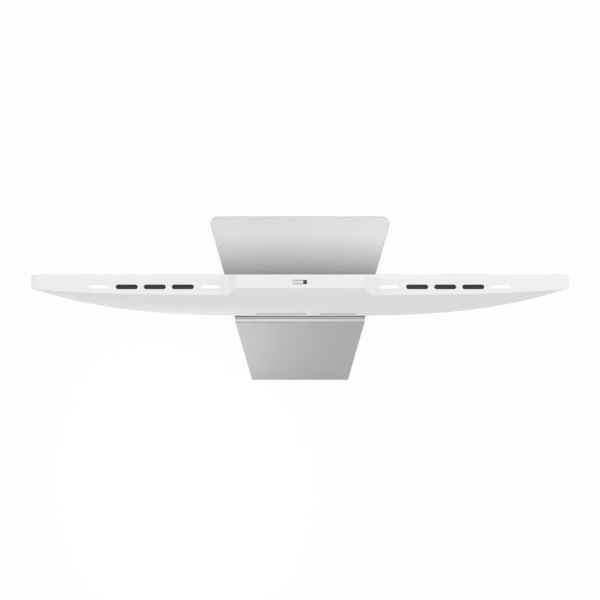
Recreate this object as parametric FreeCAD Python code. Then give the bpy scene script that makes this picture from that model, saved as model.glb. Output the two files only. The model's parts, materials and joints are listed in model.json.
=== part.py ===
"""Desktop computer monitor on a bent-sheet tilt stand.

A white moulded head holds a 24-inch class LCD module, its electronics, speakers and a webcam
with a sliding privacy shutter. Its back is one pillow-shaped surface. It tilts on two friction
hinges, held by a steel sheet that runs down behind the head and folds forward into the foot.

Millimetres. +Z is up, the screen faces -Y, and the origin is the bottom centre of the foot.
"""

import FreeCAD
import Part

import math
import os

from FreeCAD import Vector

# ---------------------------------------------------------------- driving dimensions

# Screen
ACTIVE_WIDTH = 527.0
ACTIVE_HEIGHT = 296.5
SIDE_BORDER = 3.6            # black margin of the cell at left, right and top
LOW_BORDER = 6.0             # black margin of the cell above the chin
CELL_THICKNESS = 1.4
CELL_RECESS = 0.4            # the glass lies this far behind the rim
CELL_GAP = 0.3               # clearance between the glass and the rim

# Head housing
RIM_WIDTH = 3.2              # at the corners its opening has to stay inside the rounded outline
CHIN_HEIGHT = 33.0
BEZEL_DEPTH = 2.8            # front bezel, seen from the side
COVER_WALL = 2.2
CORNER_RADIUS = 7.0
LEAST_CORNER = 0.5           # on the insets of the outline
FRONT_EDGE_RADIUS = 1.2
SKIRT_WALL = 1.2             # tongue of the bezel that locates the rear cover
SKIRT_GAP = 0.1
SKIRT_DEPTH = 8.5
OVERRUN = 1.0                # how far a cut runs past the faces that it opens

# Snap hooks on the skirt, which catch in pockets of the rear cover
TOP_HOOKS = (100.0, 160.0, 220.0)
LOW_HOOKS = (105.0, 160.0, 205.0)
SIDE_HOOKS = (60.0, 170.0, 280.0)    # above the bottom edge
HOOK_LENGTH = 8.0
HOOK_PLACE = 5.0             # catching face behind the screen face
HOOK_RUN = 2.6
HOOK_RISE = 0.6
HOOK_ROOT = 0.5              # how deep the hook reaches into the skirt
POCKET_GAP = 0.2

# Camera hump on the top edge
HUMP_HEIGHT = 9.0
HUMP_BASE_HALF = 72.4
HUMP_TOP_HALF = 65.0
HUMP_CORNER_RADIUS = 0.8
LEAST_HUMP_CORNER = 0.3      # on the insets of the outline

# Pillow-shaped back
EDGE_DEPTH = 14.8            # head depth at its outline
HEAD_DEPTH = 42.0            # head depth at its crest
DOME_POWER = 3.4
CREST_TOP_DROP = 100.9       # crest's upper end, below the top edge
CREST_LOW_RISE = 96.0        # crest's lower end, above the bottom edge
DOME_TOP_OVER = 7.6          # height over the top edge where the back would reach its edge depth
DOME_LOW_UNDER = 14.0        # the same, under the bottom edge
DOME_MARGIN = 4.0            # the surface runs this far past the outline

# Places of the head and the stand
HEAD_BOTTOM = 94.0           # chin above the desk
SCREEN_SETBACK = 69.0        # screen face behind the front edge of the foot
HINGE_HEIGHT = 200.0
HINGE_DEPTH = 24.0           # hinge axis behind the screen face
TILT_BACK = 15.0             # degrees
TILT_FORWARD = 5.0

# Stand sheet
STAND_DEPTH = 185.0
SHEET = 4.0
BEND_RADIUS = 4.0            # inside radius of both bends
FOOT_FRONT_WIDTH = 208.0
WAIST_WIDTH = 109.0          # at the rear fold
NECK_WIDTH = 140.0           # at the top of the upper bend and on the tongue
FOOT_CORNER_RADIUS = 8.0
SHEET_EDGE = 0.4             # chamfer
BEND_GAP = 1.0               # upper bend behind the back of the head
PAD_THICKNESS = 1.4
PAD_LENGTH = 34.0
PAD_WIDTH = 9.0
PAD_INSET = 15.0
PAD_SIDE_GAP = 5.0           # rear pads, from the sides of the foot
FIT_GAP = 0.3                # general clearance between moving or loose-fitting pieces

# Openings in the top of the head
VENT_LENGTH = 22.2
VENT_WIDTH = 4.7
VENT_PITCH = 28.2
VENT_FIRST = 89.6            # centre of the innermost slot from the middle
VENT_DEPTH_PLACE = 12.4      # centre line behind the screen face
VENT_COUNT = 5               # per side; the first and last are blind
BLIND_LENGTH = 20.4
BLIND_WIDTH = 4.0
BLIND_DEPTH = 1.0
INSERT_GAP = 0.05            # round the inserts that close the blind slots
INSERT_SUNK = 0.1
NET = 0.5                    # dust nets behind the openings
NET_MARGIN = 1.5

# Exhaust louvres in the upper back: rows of long slots in two groups
LOUVRE_GROUPS = ((-57.0, -20.4), (-6.1, 44.9))
LOUVRE_ROWS = 4
LOUVRE_PITCH = 3.0
LOUVRE_HEIGHT = 1.5
LOUVRE_TOP_DROP = 44.8       # upper edge of the first row below the top edge

# Privacy shutter
SHUTTER_SLOT_LENGTH = 14.1
SHUTTER_SLOT_WIDTH = 4.2
SHUTTER_PLACE = 7.6          # slot's centre line behind the screen face
SHUTTER_SLOT_CORNER = 0.6
KNOB_LENGTH = 9.9
KNOB_GAP = 0.5               # beside the knob
KNOB_END_GAP = 0.35          # past it at rest, and at the other end of its travel
KNOB_PROUD = 0.3
KNOB_PEG = 1.0               # square pegs that hold the knob in the slide
KNOB_PEG_INSET = 2.0
SHUTTER_SHEET = 0.6
SHUTTER_PLAY = 0.1           # under the top wall
SLIDE_OVER = 3.0             # slide past the hidden end of the knob
SLIDE_SHORT = 1.0            # and short of its other end
LENS_RADIUS = 1.5            # clear opening in the bezel and the blade
LENS_RISE = 2.6              # lens centre above the top edge
LENS_COVER = 1.5             # blade below the lens opening
WINDOW_LENGTH = 42.0
WINDOW_HEIGHT = 5.6
WINDOW_THICKNESS = 0.8
WINDOW_GAP = 0.1
CAMERA_BOARD_LENGTH = 50.0
CAMERA_BOARD_HEIGHT = 6.0
CAMERA_BOARD_DEPTH = 8.0
CAMERA_BOARD = 0.8
CAMERA_ROOM = 3.0            # free width beside the camera board
CAMERA_POST_RADIUS = 1.8
CAMERA_POST_INSET = 4.0
CAMERA_HOUSING_WIDTH = 6.4
CAMERA_HOUSING_HEIGHT = 5.8
BARREL_RADIUS = 2.4
BARREL_LENGTH = 1.5

# LCD module, front to back
FILM = 0.3
GUIDE_THICKNESS = 3.0
TRAY_SHEET = 0.8
MODULE_INSET = 2.4           # steel tray inside the edge of the glass
MOULD_FRAME_WIDTH = 1.0
MOULD_FRAME_STEP = 0.6       # its lip between the glass and the films
WINDOW_MARGIN = 0.1          # its window beyond the active area
GUIDE_GAP = 0.3
LED_COUNT = 24
LED_LENGTH = 7.0
LED_HEIGHT = 1.0
LED_STRIP = 0.8
BEAD_WIDTH = 10.0            # stiffening beads pressed into the tray
BEAD_DEPTH = 2.0
BEAD_INSET = 24.0            # side beads, from the edge of the tray
BEAD_END_INSET = 30.0
TOP_BEAD_INSET = 60.0
TOP_BEAD_DROP = 26.0

# Driver board of the LCD and its cables
SOURCE_BOARD_HALF = 170.0
SOURCE_BOARD_RISE = 8.0      # above the module's lower edge
SOURCE_BOARD_HEIGHT = 12.0
SOURCE_BOARD = 1.0
SOURCE_CHIP_PITCH = 90.0
SOURCE_CHIP_LENGTH = 10.0
SOURCE_CHIP_HEIGHT = 1.2
SOURCE_CHIP_INSET = 3.0
TAIL_COUNT = 6
TAIL_WIDTH = 24.0
TAIL_SHEET = 0.2
TAIL_LAP = 3.0               # how far a tail lies on its board
FLEX_WIDTH = 24.0
FLEX_PLACE = 30.0            # from the outer end of the main board
FLEX_RISE = 3.0              # its bend above the driver board
FLEX_SOCKET_RISE = 16.0      # socket on the main board, above the bend
FLEX_SOCKET_HEIGHT = 5.0
FLEX_SOCKET = 2.0
FLEX_LAP = 2.0               # how far the cable reaches into the socket

# Chassis and boards
CHASSIS_SHEET = 1.0
CHASSIS_DEPTH = 13.0
CHASSIS_HALF_WIDTH = 212.0
CHASSIS_HEIGHT = 190.0
CHASSIS_FOOT = 8.0           # width of the feet that rest on the tray
CHASSIS_LEG_INSET = 8.0
CHASSIS_CORNER = 6.0
CHASSIS_WINDOW_PITCH = 100.0
CHASSIS_WINDOW_LENGTH = 68.0
CHASSIS_WINDOW_HEIGHT = 28.0
CHASSIS_WINDOW_DROP = 18.0
CHASSIS_WINDOW_CORNER = 5.0
CHASSIS_FLEX_GAP = 2.0       # round the flat cable
TRAY_SCREWS = (-180.0, -60.0, 60.0, 180.0)
STANDOFF_RADIUS = 2.6
BOARD = 1.6
BOARD_STANDOFF = 4.9
MAIN_BOARD_WIDTH = 130.0
MAIN_BOARD_HEIGHT = 104.0
DRIVER_BOARD_WIDTH = 110.0
DRIVER_BOARD_HEIGHT = 70.0
DRIVER_BOARD_RISE = 20.0     # above the main board's lower edge
BOARD_HINGE_GAP = 5.0        # boards keep clear of the hinge brackets
BOARD_SCREW_INSET = 6.0
SCREW_RADIUS = 1.5
SCREW_HEAD_RADIUS = 2.8
SCREW_HEAD = 1.6
SCREW_GRIP = 4.0             # thread below the pieces that a screw clamps
CHIP_HEIGHT = 1.4
PROCESSOR = (50.0, 44.0, 24.0)       # place from the board's corner, and side
CHIPS = (                    # place from the board's corner, width and height
    (84.0, 48.0, 10.0, 14.0),
    (84.0, 70.0, 10.0, 14.0),
    (18.0, 40.0, 12.0, 8.0),
    (18.0, 60.0, 14.0, 14.0),
)
FIN_COUNT = 8
FIN = 1.0
FIN_HEIGHT = 4.5
HEAT_SINK_BASE = 1.5
INDUCTOR_PLACE = (20.0, 34.0)
INDUCTOR_PITCH = 18.0
INDUCTOR_SIZE = 12.0
INDUCTOR_CORNER = 2.0
INDUCTOR_HEIGHT = 5.0
CAPACITOR_PLACE = (66.0, 38.0)
CAPACITOR_PITCH = 11.0
CAPACITOR_RADIUS = 4.0
CAPACITOR_HEIGHT = 7.0

# Connector bay in the lower back
BAY_HEIGHT = 34.0            # from the bottom edge to its ceiling
BAY_FLOOR = 18.0             # its front wall behind the screen face
BAY_MARGIN = 8.0             # beyond the outer connectors
BAY_CORNER = 3.0
PORT_GAP = 0.25
PORT_LENGTH = 12.5
PORT_SHELL = 0.5
PORT_BACK_WALL = 1.5         # closed end of each connector
PORT_TONGUE = 1.0
PORT_TONGUE_INSET = 2.0      # contact tongue, from the sides of the shell
PORT_TONGUE_STEP = 1.0       # and from its mouth
POWER_JACK_RADIUS = 3.2
POWER_PIN_RADIUS = 1.0
AUDIO_JACK_RADIUS = 1.8

# Hinge
HINGE_PIN_RADIUS = 3.0
PIN_CLEARANCE = 0.05
HINGE_EYE_RADIUS = 7.0
EAR = 2.5
BRACKET_SHEET = 2.0
BASE_EAR_PLACE = 50.0        # inner face of the stand's ears from the middle
WASHER = 0.6
WASHER_RADIUS = 6.0
EAR_PLAY = 0.05              # between each washer and the head's ear
NUT_THICKNESS = 2.6
NUT_RADIUS = 5.7             # to its corners
HINGE_PLATE_HALF_WIDTH = 66.0
HINGE_PLATE_HEIGHT = 60.0
HINGE_PLATE_CORNER = 4.0
PIN_HEAD = 2.0
PIN_HEAD_STEP = 1.5
PIN_END = 1.0                # pin past its nut
TONGUE_END_GAP = 1.0
BASE_BRACKET_GAP = 0.8       # behind the bracket, to the inside of the cover
BASE_SCREWS = (-36.0, -12.0, 12.0, 36.0)
HEAD_SCREWS = (-36.0, 0.0, 36.0)
HEAD_SCREW_RISE = 22.0       # above and below the hinge axis
TONGUE_SLOT_GAP = 1.2        # beside the tongue, in the window of the cover
TONGUE_SLOT_CORNER = 1.5

# Keys under the chin
KEY_COUNT = 4
KEY_LENGTH = 10.0
POWER_KEY_LENGTH = 12.0
KEY_WIDTH = 3.6
KEY_PITCH = 16.0
KEY_ROW_INSET = 142.6        # first key's centre, from the viewer's right side of the head
KEY_PLACE = 12.0             # row's centre line behind the screen face
KEY_TRAVEL = 0.7
KEY_PROUD = 1.0
KEY_FLANGE = 0.8
KEY_FLANGE_STEP = 1.0        # flange past the cap, all round
KEY_SEAT = 0.02              # flange above the inside of the wall
KEY_PLAY = 0.05              # under the switch
SWITCH_HEIGHT = 3.0
SWITCH_LENGTH = 6.0
SWITCH_WIDTH = 3.6
KEY_BOARD = 1.0
KEY_BOARD_MARGIN = 4.0       # past the pegs
KEY_BOARD_BACK = 5.0         # behind the row of keys
PEG_RADIUS = 1.0             # heat-staked pegs of the bezel that carry the key board
PEG_DEPTH = 5.5
PEG_END = 1.8                # peg from the underside of the board

# Speakers
SPEAKER_LENGTH = 50.0
SPEAKER_HEIGHT = 22.0
SPEAKER_THICKNESS = 5.2
SPEAKER_INSET = 13.6         # outer end, from the side of the head
SPEAKER_CORNER = 2.0
SPEAKER_WALL = 1.0
SPEAKER_MOUTH_LENGTH = 40.0
SPEAKER_MOUTH_DEPTH = 3.0
SPEAKER_SLOTS = 9
SPEAKER_SLOT_PITCH = 4.6
SPEAKER_SLOT_WIDTH = 1.6
SPEAKER_SLOT_LENGTH = 3.6

# Fixing screws of the rear cover, in its bottom wall
INNER_COVER_SCREW = 64.0     # from the middle
OUTER_COVER_SCREW_INSET = 38.6       # from the side of the head
COVER_SCREW_DEPTH = 5.2
COVER_SCREW_GRIP = 6.0
BOSS_WIDTH = 8.0
BOSS_HEIGHT = 9.0
BOSS_END = 1.0               # closed end of its bore

# ---------------------------------------------------------------- places worked out from them

HALF_WIDTH = ACTIVE_WIDTH / 2 + SIDE_BORDER + CELL_GAP + RIM_WIDTH
CELL_HALF_WIDTH = ACTIVE_WIDTH / 2 + SIDE_BORDER
CELL_LOW = HEAD_BOTTOM + CHIN_HEIGHT + CELL_GAP
CELL_TOP = CELL_LOW + LOW_BORDER + ACTIVE_HEIGHT + SIDE_BORDER
HEAD_TOP = CELL_TOP + CELL_GAP + RIM_WIDTH
HUMP_TOP = HEAD_TOP + HUMP_HEIGHT
FRONT_Y = -STAND_DEPTH / 2 + SCREEN_SETBACK
BEZEL_WALL = CELL_RECESS + CELL_THICKNESS

CREST_TOP = HEAD_TOP - CREST_TOP_DROP
CREST_LOW = HEAD_BOTTOM + CREST_LOW_RISE

FILM_DEPTH = BEZEL_WALL + MOULD_FRAME_STEP
GUIDE_DEPTH = FILM_DEPTH + 2 * FILM
REFLECTOR_DEPTH = GUIDE_DEPTH + GUIDE_THICKNESS
TRAY_DEPTH = REFLECTOR_DEPTH + FILM
TRAY_BACK = TRAY_DEPTH + TRAY_SHEET
MODULE_HALF_WIDTH = CELL_HALF_WIDTH - MODULE_INSET - TRAY_SHEET
MODULE_LOW = CELL_LOW + MODULE_INSET
MODULE_TOP = CELL_TOP - MODULE_INSET - TRAY_SHEET
GUIDE_HALF_WIDTH = MODULE_HALF_WIDTH - MOULD_FRAME_WIDTH - GUIDE_GAP
GUIDE_LOW = MODULE_LOW + LED_STRIP + LED_HEIGHT + GUIDE_GAP
GUIDE_TOP = MODULE_TOP - MOULD_FRAME_WIDTH - GUIDE_GAP

BAY_CEILING = HEAD_BOTTOM + BAY_HEIGHT
BOARD_LOW = BAY_CEILING + COVER_WALL + FIT_GAP
CHASSIS_LOW = BOARD_LOW
CHASSIS_BACK = CHASSIS_DEPTH + CHASSIS_SHEET
BOARD_DEPTH = CHASSIS_BACK + BOARD_STANDOFF
BOARD_BACK = BOARD_DEPTH + BOARD
MAIN_BOARD_END = -(HINGE_PLATE_HALF_WIDTH + BOARD_HINGE_GAP)
MAIN_BOARD_START = MAIN_BOARD_END - MAIN_BOARD_WIDTH
DRIVER_BOARD_START = HINGE_PLATE_HALF_WIDTH + BOARD_HINGE_GAP
DRIVER_BOARD_LOW = BOARD_LOW + DRIVER_BOARD_RISE

SOURCE_BOARD_LOW = MODULE_LOW + SOURCE_BOARD_RISE
FLEX_X0 = MAIN_BOARD_START + FLEX_PLACE
FLEX_X1 = FLEX_X0 + FLEX_WIDTH
FLEX_Z = SOURCE_BOARD_LOW + SOURCE_BOARD_HEIGHT + FLEX_RISE
CHASSIS_LEG_LOW = FLEX_Z + 1.5 * CHASSIS_FOOT
CHASSIS_LEG_TOP = CHASSIS_LOW + CHASSIS_HEIGHT - CHASSIS_SHEET

FOOT_LOW = PAD_THICKNESS
FOOT_TOP = FOOT_LOW + SHEET
OUTER_BEND = BEND_RADIUS + SHEET
MIDDLE_BEND = BEND_RADIUS + SHEET / 2
FOLD_Y = STAND_DEPTH / 2 - OUTER_BEND
FOLD_Z = FOOT_LOW + OUTER_BEND
FOOT_RUN = FOLD_Y + STAND_DEPTH / 2
SIDE_BEVEL = SHEET_EDGE * math.hypot(1, (FOOT_FRONT_WIDTH - WAIST_WIDTH) / 2 / FOOT_RUN)
TONGUE_LOW = HINGE_HEIGHT - SHEET / 2
TONGUE_TOP = HINGE_HEIGHT + SHEET / 2
BEND_Y = FRONT_Y + HEAD_DEPTH + BEND_GAP
BEND_Z = TONGUE_LOW - BEND_RADIUS
TONGUE_END = HINGE_DEPTH + HINGE_EYE_RADIUS + TONGUE_END_GAP
BASE_EAR_OUTER = BASE_EAR_PLACE + EAR
HEAD_EAR_PLACE = BASE_EAR_OUTER + WASHER + EAR_PLAY
OUTER_WASHER_PLACE = HEAD_EAR_PLACE + EAR + EAR_PLAY

LENS_Z = HEAD_TOP + LENS_RISE
KNOB_START = SHUTTER_SLOT_LENGTH / 2 - KNOB_END_GAP - KNOB_LENGTH
SLIDE_TOP = HUMP_TOP - COVER_WALL - SHUTTER_PLAY
BLADE_DEPTH = BEZEL_WALL + FIT_GAP
SPEAKER_PLACE = HALF_WIDTH - SPEAKER_INSET - SPEAKER_LENGTH / 2
COVER_SCREWS = (INNER_COVER_SCREW, HALF_WIDTH - OUTER_COVER_SCREW_INSET)
KEY_FIRST = HALF_WIDTH - KEY_ROW_INSET
KEY_BOARD_LOW = HEAD_BOTTOM + COVER_WALL + KEY_FLANGE + KEY_TRAVEL + SWITCH_HEIGHT

# name, width along X, height behind the board, centre from the end of the board
PORTS = (
    ("dc_power_jack", 9.0, 10.0, 17.0),
    ("hdmi_port", 15.0, 6.2, 35.0),
    ("displayport_port", 17.0, 6.6, 57.0),
    ("usb_port_inner", 13.2, 6.6, 78.0),
    ("usb_port_outer", 13.2, 6.6, 97.0),
    ("audio_jack", 7.0, 6.0, 113.0),
)


# ---------------------------------------------------------------- helpers

def depth_y(depth):
    """Y of a plane that lies this far behind the screen face."""
    return FRONT_Y + depth


def in_space(axis, u, v, level):
    """A point of a plane across the axis. Its coordinates keep the order X, Y, Z."""
    if axis == "x":
        return Vector(level, u, v)
    if axis == "y":
        return Vector(u, level, v)
    return Vector(u, v, level)


def along(axis, length):
    return in_space(axis, 0, 0, length)


def rounded_wire(axis, corners, level):
    """Closed outline through (u, v) or (u, v, radius) corners, with tangent arcs at the radii."""
    count = len(corners)
    flat = [Vector(c[0], c[1], 0) for c in corners]
    starts, ends, middles = [], [], []
    for i, corner in enumerate(corners):
        point = flat[i]
        radius = corner[2] if len(corner) > 2 else 0
        back = (flat[i - 1] - point).normalize()
        ahead = (flat[(i + 1) % count] - point).normalize()
        half_angle = back.getAngle(ahead) / 2
        reach = radius / math.tan(half_angle) if radius else 0
        bisector = (back + ahead).normalize() if radius else Vector()
        starts.append(point + back * reach)
        ends.append(point + ahead * reach)
        middles.append(point + bisector * (radius / math.sin(half_angle) - radius) if radius else None)
    edges = []
    for i in range(count):
        turn = (starts[i], ends[i], starts[(i + 1) % count])
        start, end, after = (in_space(axis, p.x, p.y, level) for p in turn)
        if middles[i] is not None:
            middle = in_space(axis, middles[i].x, middles[i].y, level)
            edges.append(Part.Arc(start, middle, end).toShape())
        if end.distanceToPoint(after) > 1e-6:
            edges.append(Part.makeLine(end, after))
    return Part.Wire(edges)


def prism(axis, corners, start, end):
    """Solid with that outline, from one level on the axis to another."""
    return Part.Face(rounded_wire(axis, corners, start)).extrude(along(axis, end - start))


def rectangle(u0, u1, v0, v1, radius=0):
    return [(u0, v0, radius), (u1, v0, radius), (u1, v1, radius), (u0, v1, radius)]


def stadium(axis, u, v, length, width, start, end):
    """Slot or key shape centred on (u, v), long in u, with half-round ends."""
    half, r = length / 2 - width / 2, width / 2
    signs = ((-1, -1), (1, -1), (1, 1), (-1, 1))
    corners = [in_space(axis, u + across * half, v + up * r, start) for across, up in signs]
    tips = [in_space(axis, u + su * length / 2, v, start) for su in (1, -1)]
    wire = Part.Wire([
        Part.makeLine(corners[0], corners[1]),
        Part.Arc(corners[1], tips[0], corners[2]).toShape(),
        Part.makeLine(corners[2], corners[3]),
        Part.Arc(corners[3], tips[1], corners[0]).toShape(),
    ])
    return Part.Face(wire).extrude(along(axis, end - start))


def box(x0, x1, y0, y1, z0, z1):
    return Part.makeBox(x1 - x0, y1 - y0, z1 - z0, Vector(x0, y0, z0))


def head_box(x0, x1, depth0, depth1, z0, z1):
    """Box whose front and back are given as depths behind the screen face."""
    return box(x0, x1, depth_y(depth0), depth_y(depth1), z0, z1)


def rod(axis, u, v, radius, start, end):
    return Part.makeCylinder(radius, end - start, in_space(axis, u, v, start), along(axis, 1))


def mirrored(shape):
    return shape.mirror(Vector(0, 0, 0), Vector(1, 0, 0))


def both_sides(shape):
    return [shape, mirrored(shape)]


def screw(axis, u, v, seat, length, sign):
    """Pan-head screw. Its head stands on the seat, on the side that sign gives, and its shank runs back."""
    head_end = seat + sign * SCREW_HEAD
    head = rod(axis, u, v, SCREW_HEAD_RADIUS, min(seat, head_end), max(seat, head_end))
    tip = seat - sign * length
    shank = rod(axis, u, v, SCREW_RADIUS, min(seat, tip), max(seat, tip))
    return head.fuse(shank).removeSplitter()


# ---------------------------------------------------------------- head outline and back surface

def head_outline(inset):
    """Corners of the head seen from the front, moved inwards by the inset."""
    run = (HUMP_BASE_HALF - HUMP_TOP_HALF) / HUMP_HEIGHT
    slide = inset * (run - math.hypot(run, 1))
    half, low, top = HALF_WIDTH - inset, HEAD_BOTTOM + inset, HEAD_TOP - inset
    corner = max(CORNER_RADIUS - inset, LEAST_CORNER)
    hump = HUMP_TOP - inset
    tip = max(HUMP_CORNER_RADIUS - inset, LEAST_HUMP_CORNER)
    right = [
        (half, low, corner),
        (half, top, corner),
        (HUMP_BASE_HALF + slide, top),
        (HUMP_TOP_HALF + slide, hump, tip),
    ]
    left = [(-c[0], *c[1:]) for c in reversed(right)]
    return right + left


def head_slab(inset, start_depth, end_depth):
    return prism("y", head_outline(inset), depth_y(start_depth), depth_y(end_depth))


def back_depth(x, z):
    """Depth of the back surface behind the screen face: an edge depth plus a pillow."""
    across = 1 - (abs(x) / HALF_WIDTH) ** DOME_POWER
    if z > CREST_TOP:
        share = (z - CREST_TOP) / (HEAD_TOP + DOME_TOP_OVER - CREST_TOP)
    elif z < CREST_LOW:
        share = (CREST_LOW - z) / (CREST_LOW - HEAD_BOTTOM + DOME_LOW_UNDER)
    else:
        share = 0
    return EDGE_DEPTH + (HEAD_DEPTH - EDGE_DEPTH) * across * (1 - share ** DOME_POWER)


def back_surface():
    """Smooth surface through a grid of points of the pillow."""
    columns, rows = 23, 25
    reach = HALF_WIDTH + DOME_MARGIN
    low, high = HEAD_BOTTOM - DOME_MARGIN, HUMP_TOP + DOME_MARGIN
    grid = []
    for i in range(columns):
        x = reach * (2 * i / (columns - 1) - 1)
        heights = [low + (high - low) * j / (rows - 1) for j in range(rows)]
        grid.append([Vector(x, depth_y(back_depth(x, z)), z) for z in heights])
    surface = Part.BSplineSurface()
    surface.interpolate(grid)
    return surface.toShape()


def under_back(offset=0.0):
    """All the space in front of the back surface, or of a copy of it moved forward."""
    space = back_surface().extrude(Vector(0, -2 * HEAD_DEPTH, 0))
    space.translate(Vector(0, -offset, 0))
    return space


# ---------------------------------------------------------------- front bezel and rear cover

def vent_places():
    """Centres of the top slots on one side: the open ones, then the blind ones."""
    places = [VENT_FIRST + i * VENT_PITCH for i in range(VENT_COUNT)]
    return places[1:-1], [places[0], places[-1]]


def vents():
    """Cuts for the top slots of both sides."""
    cuts = []
    through, blind = vent_places()
    y, top = depth_y(VENT_DEPTH_PLACE), HEAD_TOP + OVERRUN
    for x in through:
        cuts += both_sides(stadium("z", x, y, VENT_LENGTH, VENT_WIDTH, HEAD_TOP - 2 * COVER_WALL, top))
    for x in blind:
        cuts += both_sides(stadium("z", x, y, BLIND_LENGTH, BLIND_WIDTH, HEAD_TOP - BLIND_DEPTH, top))
    return cuts


def slot_inserts():
    """Smooth inserts that close the blind slots, just below the wall's face."""
    made = []
    length, width = BLIND_LENGTH - 2 * INSERT_GAP, BLIND_WIDTH - 2 * INSERT_GAP
    low, top = HEAD_TOP - BLIND_DEPTH, HEAD_TOP - INSERT_SUNK
    for x in vent_places()[1]:
        made += both_sides(stadium("z", x, depth_y(VENT_DEPTH_PLACE), length, width, low, top))
    return made


def top_dust_nets():
    """One strip of net under the open slots of each side."""
    through = vent_places()[0]
    reach = VENT_LENGTH / 2 + NET_MARGIN
    half = VENT_WIDTH / 2 + NET_MARGIN
    top = HEAD_TOP - COVER_WALL
    return both_sides(head_box(min(through) - reach, max(through) + reach, VENT_DEPTH_PLACE - half,
                               VENT_DEPTH_PLACE + half, top - NET, top))


def louvres():
    """Cuts for the exhaust louvres."""
    cuts = []
    for start, end in LOUVRE_GROUPS:
        for row in range(LOUVRE_ROWS):
            z = HEAD_TOP - LOUVRE_TOP_DROP - LOUVRE_HEIGHT / 2 - row * LOUVRE_PITCH
            cuts.append(stadium("y", (start + end) / 2, z, end - start, LOUVRE_HEIGHT,
                                depth_y(HEAD_DEPTH - 4 * COVER_WALL), depth_y(HEAD_DEPTH + OVERRUN)))
    return cuts


def louvre_dust_net():
    """Net that follows the inside of the back, behind both groups of louvres."""
    ends = [x for group in LOUVRE_GROUPS for x in group]
    top = HEAD_TOP - LOUVRE_TOP_DROP + NET_MARGIN
    low = HEAD_TOP - LOUVRE_TOP_DROP - LOUVRE_ROWS * LOUVRE_PITCH - NET_MARGIN
    block = head_box(min(ends) - NET_MARGIN, max(ends) + NET_MARGIN, 0, HEAD_DEPTH, low, top)
    return block.common(under_back(COVER_WALL)).cut(under_back(COVER_WALL + NET))


def key_places():
    """Name, centre and length of each key, from the middle of the chin outwards."""
    names = ["input_key", "minus_key", "plus_key", "menu_key"][:KEY_COUNT]
    for i, name in enumerate(names):
        yield name, KEY_FIRST + i * KEY_PITCH, KEY_LENGTH
    last = KEY_FIRST + KEY_COUNT * KEY_PITCH
    yield "power_key", last + (POWER_KEY_LENGTH - KEY_LENGTH) / 2, POWER_KEY_LENGTH


def key_board_pegs():
    places = [x for _, x, _ in key_places()]
    return min(places) - KEY_PITCH / 2, max(places) + KEY_PITCH / 2


def cover_screw_places():
    return [side * place for place in COVER_SCREWS for side in (-1, 1)]


def catches():
    """Edge direction, place along it, inner face of the wall and outward sign of each snap hook."""
    for side in (-1, 1):
        for x in TOP_HOOKS:
            yield "x", side * x, HEAD_TOP - COVER_WALL, 1
        for x in LOW_HOOKS:
            yield "x", side * x, HEAD_BOTTOM + COVER_WALL, -1
        for rise in SIDE_HOOKS:
            yield "z", HEAD_BOTTOM + rise, side * (HALF_WIDTH - COVER_WALL), side


def catch_prism(catch, corners, length):
    """Prism along the edge of the head. Its corners are depths and heights over the wall's inner face."""
    axis, place, face, sign = catch
    outline = []
    for depth, height in corners:
        y, level = depth_y(depth), face + sign * height
        outline.append((y, level) if axis == "x" else (level, y))
    return prism(axis, outline, place - length / 2, place + length / 2)


def snap_hooks():
    root = -SKIRT_GAP - HOOK_ROOT
    corners = [(HOOK_PLACE, root), (HOOK_PLACE, HOOK_RISE), (HOOK_PLACE + HOOK_RUN, root)]
    return [catch_prism(catch, corners, HOOK_LENGTH) for catch in catches()]


def hook_pockets():
    start, end = HOOK_PLACE - POCKET_GAP, HOOK_PLACE + HOOK_RUN + POCKET_GAP
    corners = rectangle(start, end, -OVERRUN, HOOK_RISE + POCKET_GAP)
    sharp = [corner[:2] for corner in corners]
    return [catch_prism(catch, sharp, HOOK_LENGTH + 2 * POCKET_GAP) for catch in catches()]


def bezel_ring():
    """Rounded front frame, with the skirt behind it that locates the rear cover."""
    ring = head_slab(0, 0, BEZEL_DEPTH)
    front_edges = [e for e in ring.Edges if e.BoundBox.YMax < FRONT_Y + 1e-6]
    ring = ring.makeFillet(FRONT_EDGE_RADIUS, front_edges)
    glass_opening = head_box(-CELL_HALF_WIDTH - CELL_GAP, CELL_HALF_WIDTH + CELL_GAP, -OVERRUN, BEZEL_WALL,
                             CELL_LOW - CELL_GAP, CELL_TOP + CELL_GAP)
    skirt_outer = COVER_WALL + SKIRT_GAP
    skirt = head_slab(skirt_outer, BEZEL_WALL, SKIRT_DEPTH)
    inside = head_slab(skirt_outer + SKIRT_WALL, BEZEL_WALL, SKIRT_DEPTH + OVERRUN)
    return ring.fuse(skirt).cut([glass_opening, inside])


def camera_cuts():
    """Room for the shutter, the seat of the camera's window and its lens opening."""
    half = CAMERA_BOARD_LENGTH / 2 + CAMERA_ROOM
    notch = head_box(-half, half, BEZEL_WALL, SKIRT_DEPTH + OVERRUN, HEAD_TOP, HUMP_TOP - COVER_WALL)
    ahead = depth_y(-OVERRUN)
    seat = stadium("y", 0, LENS_Z, WINDOW_LENGTH, WINDOW_HEIGHT, ahead, depth_y(WINDOW_THICKNESS))
    lens = rod("y", 0, LENS_Z, LENS_RADIUS, FRONT_Y, depth_y(BEZEL_WALL + OVERRUN))
    return [notch, seat, lens]


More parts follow.
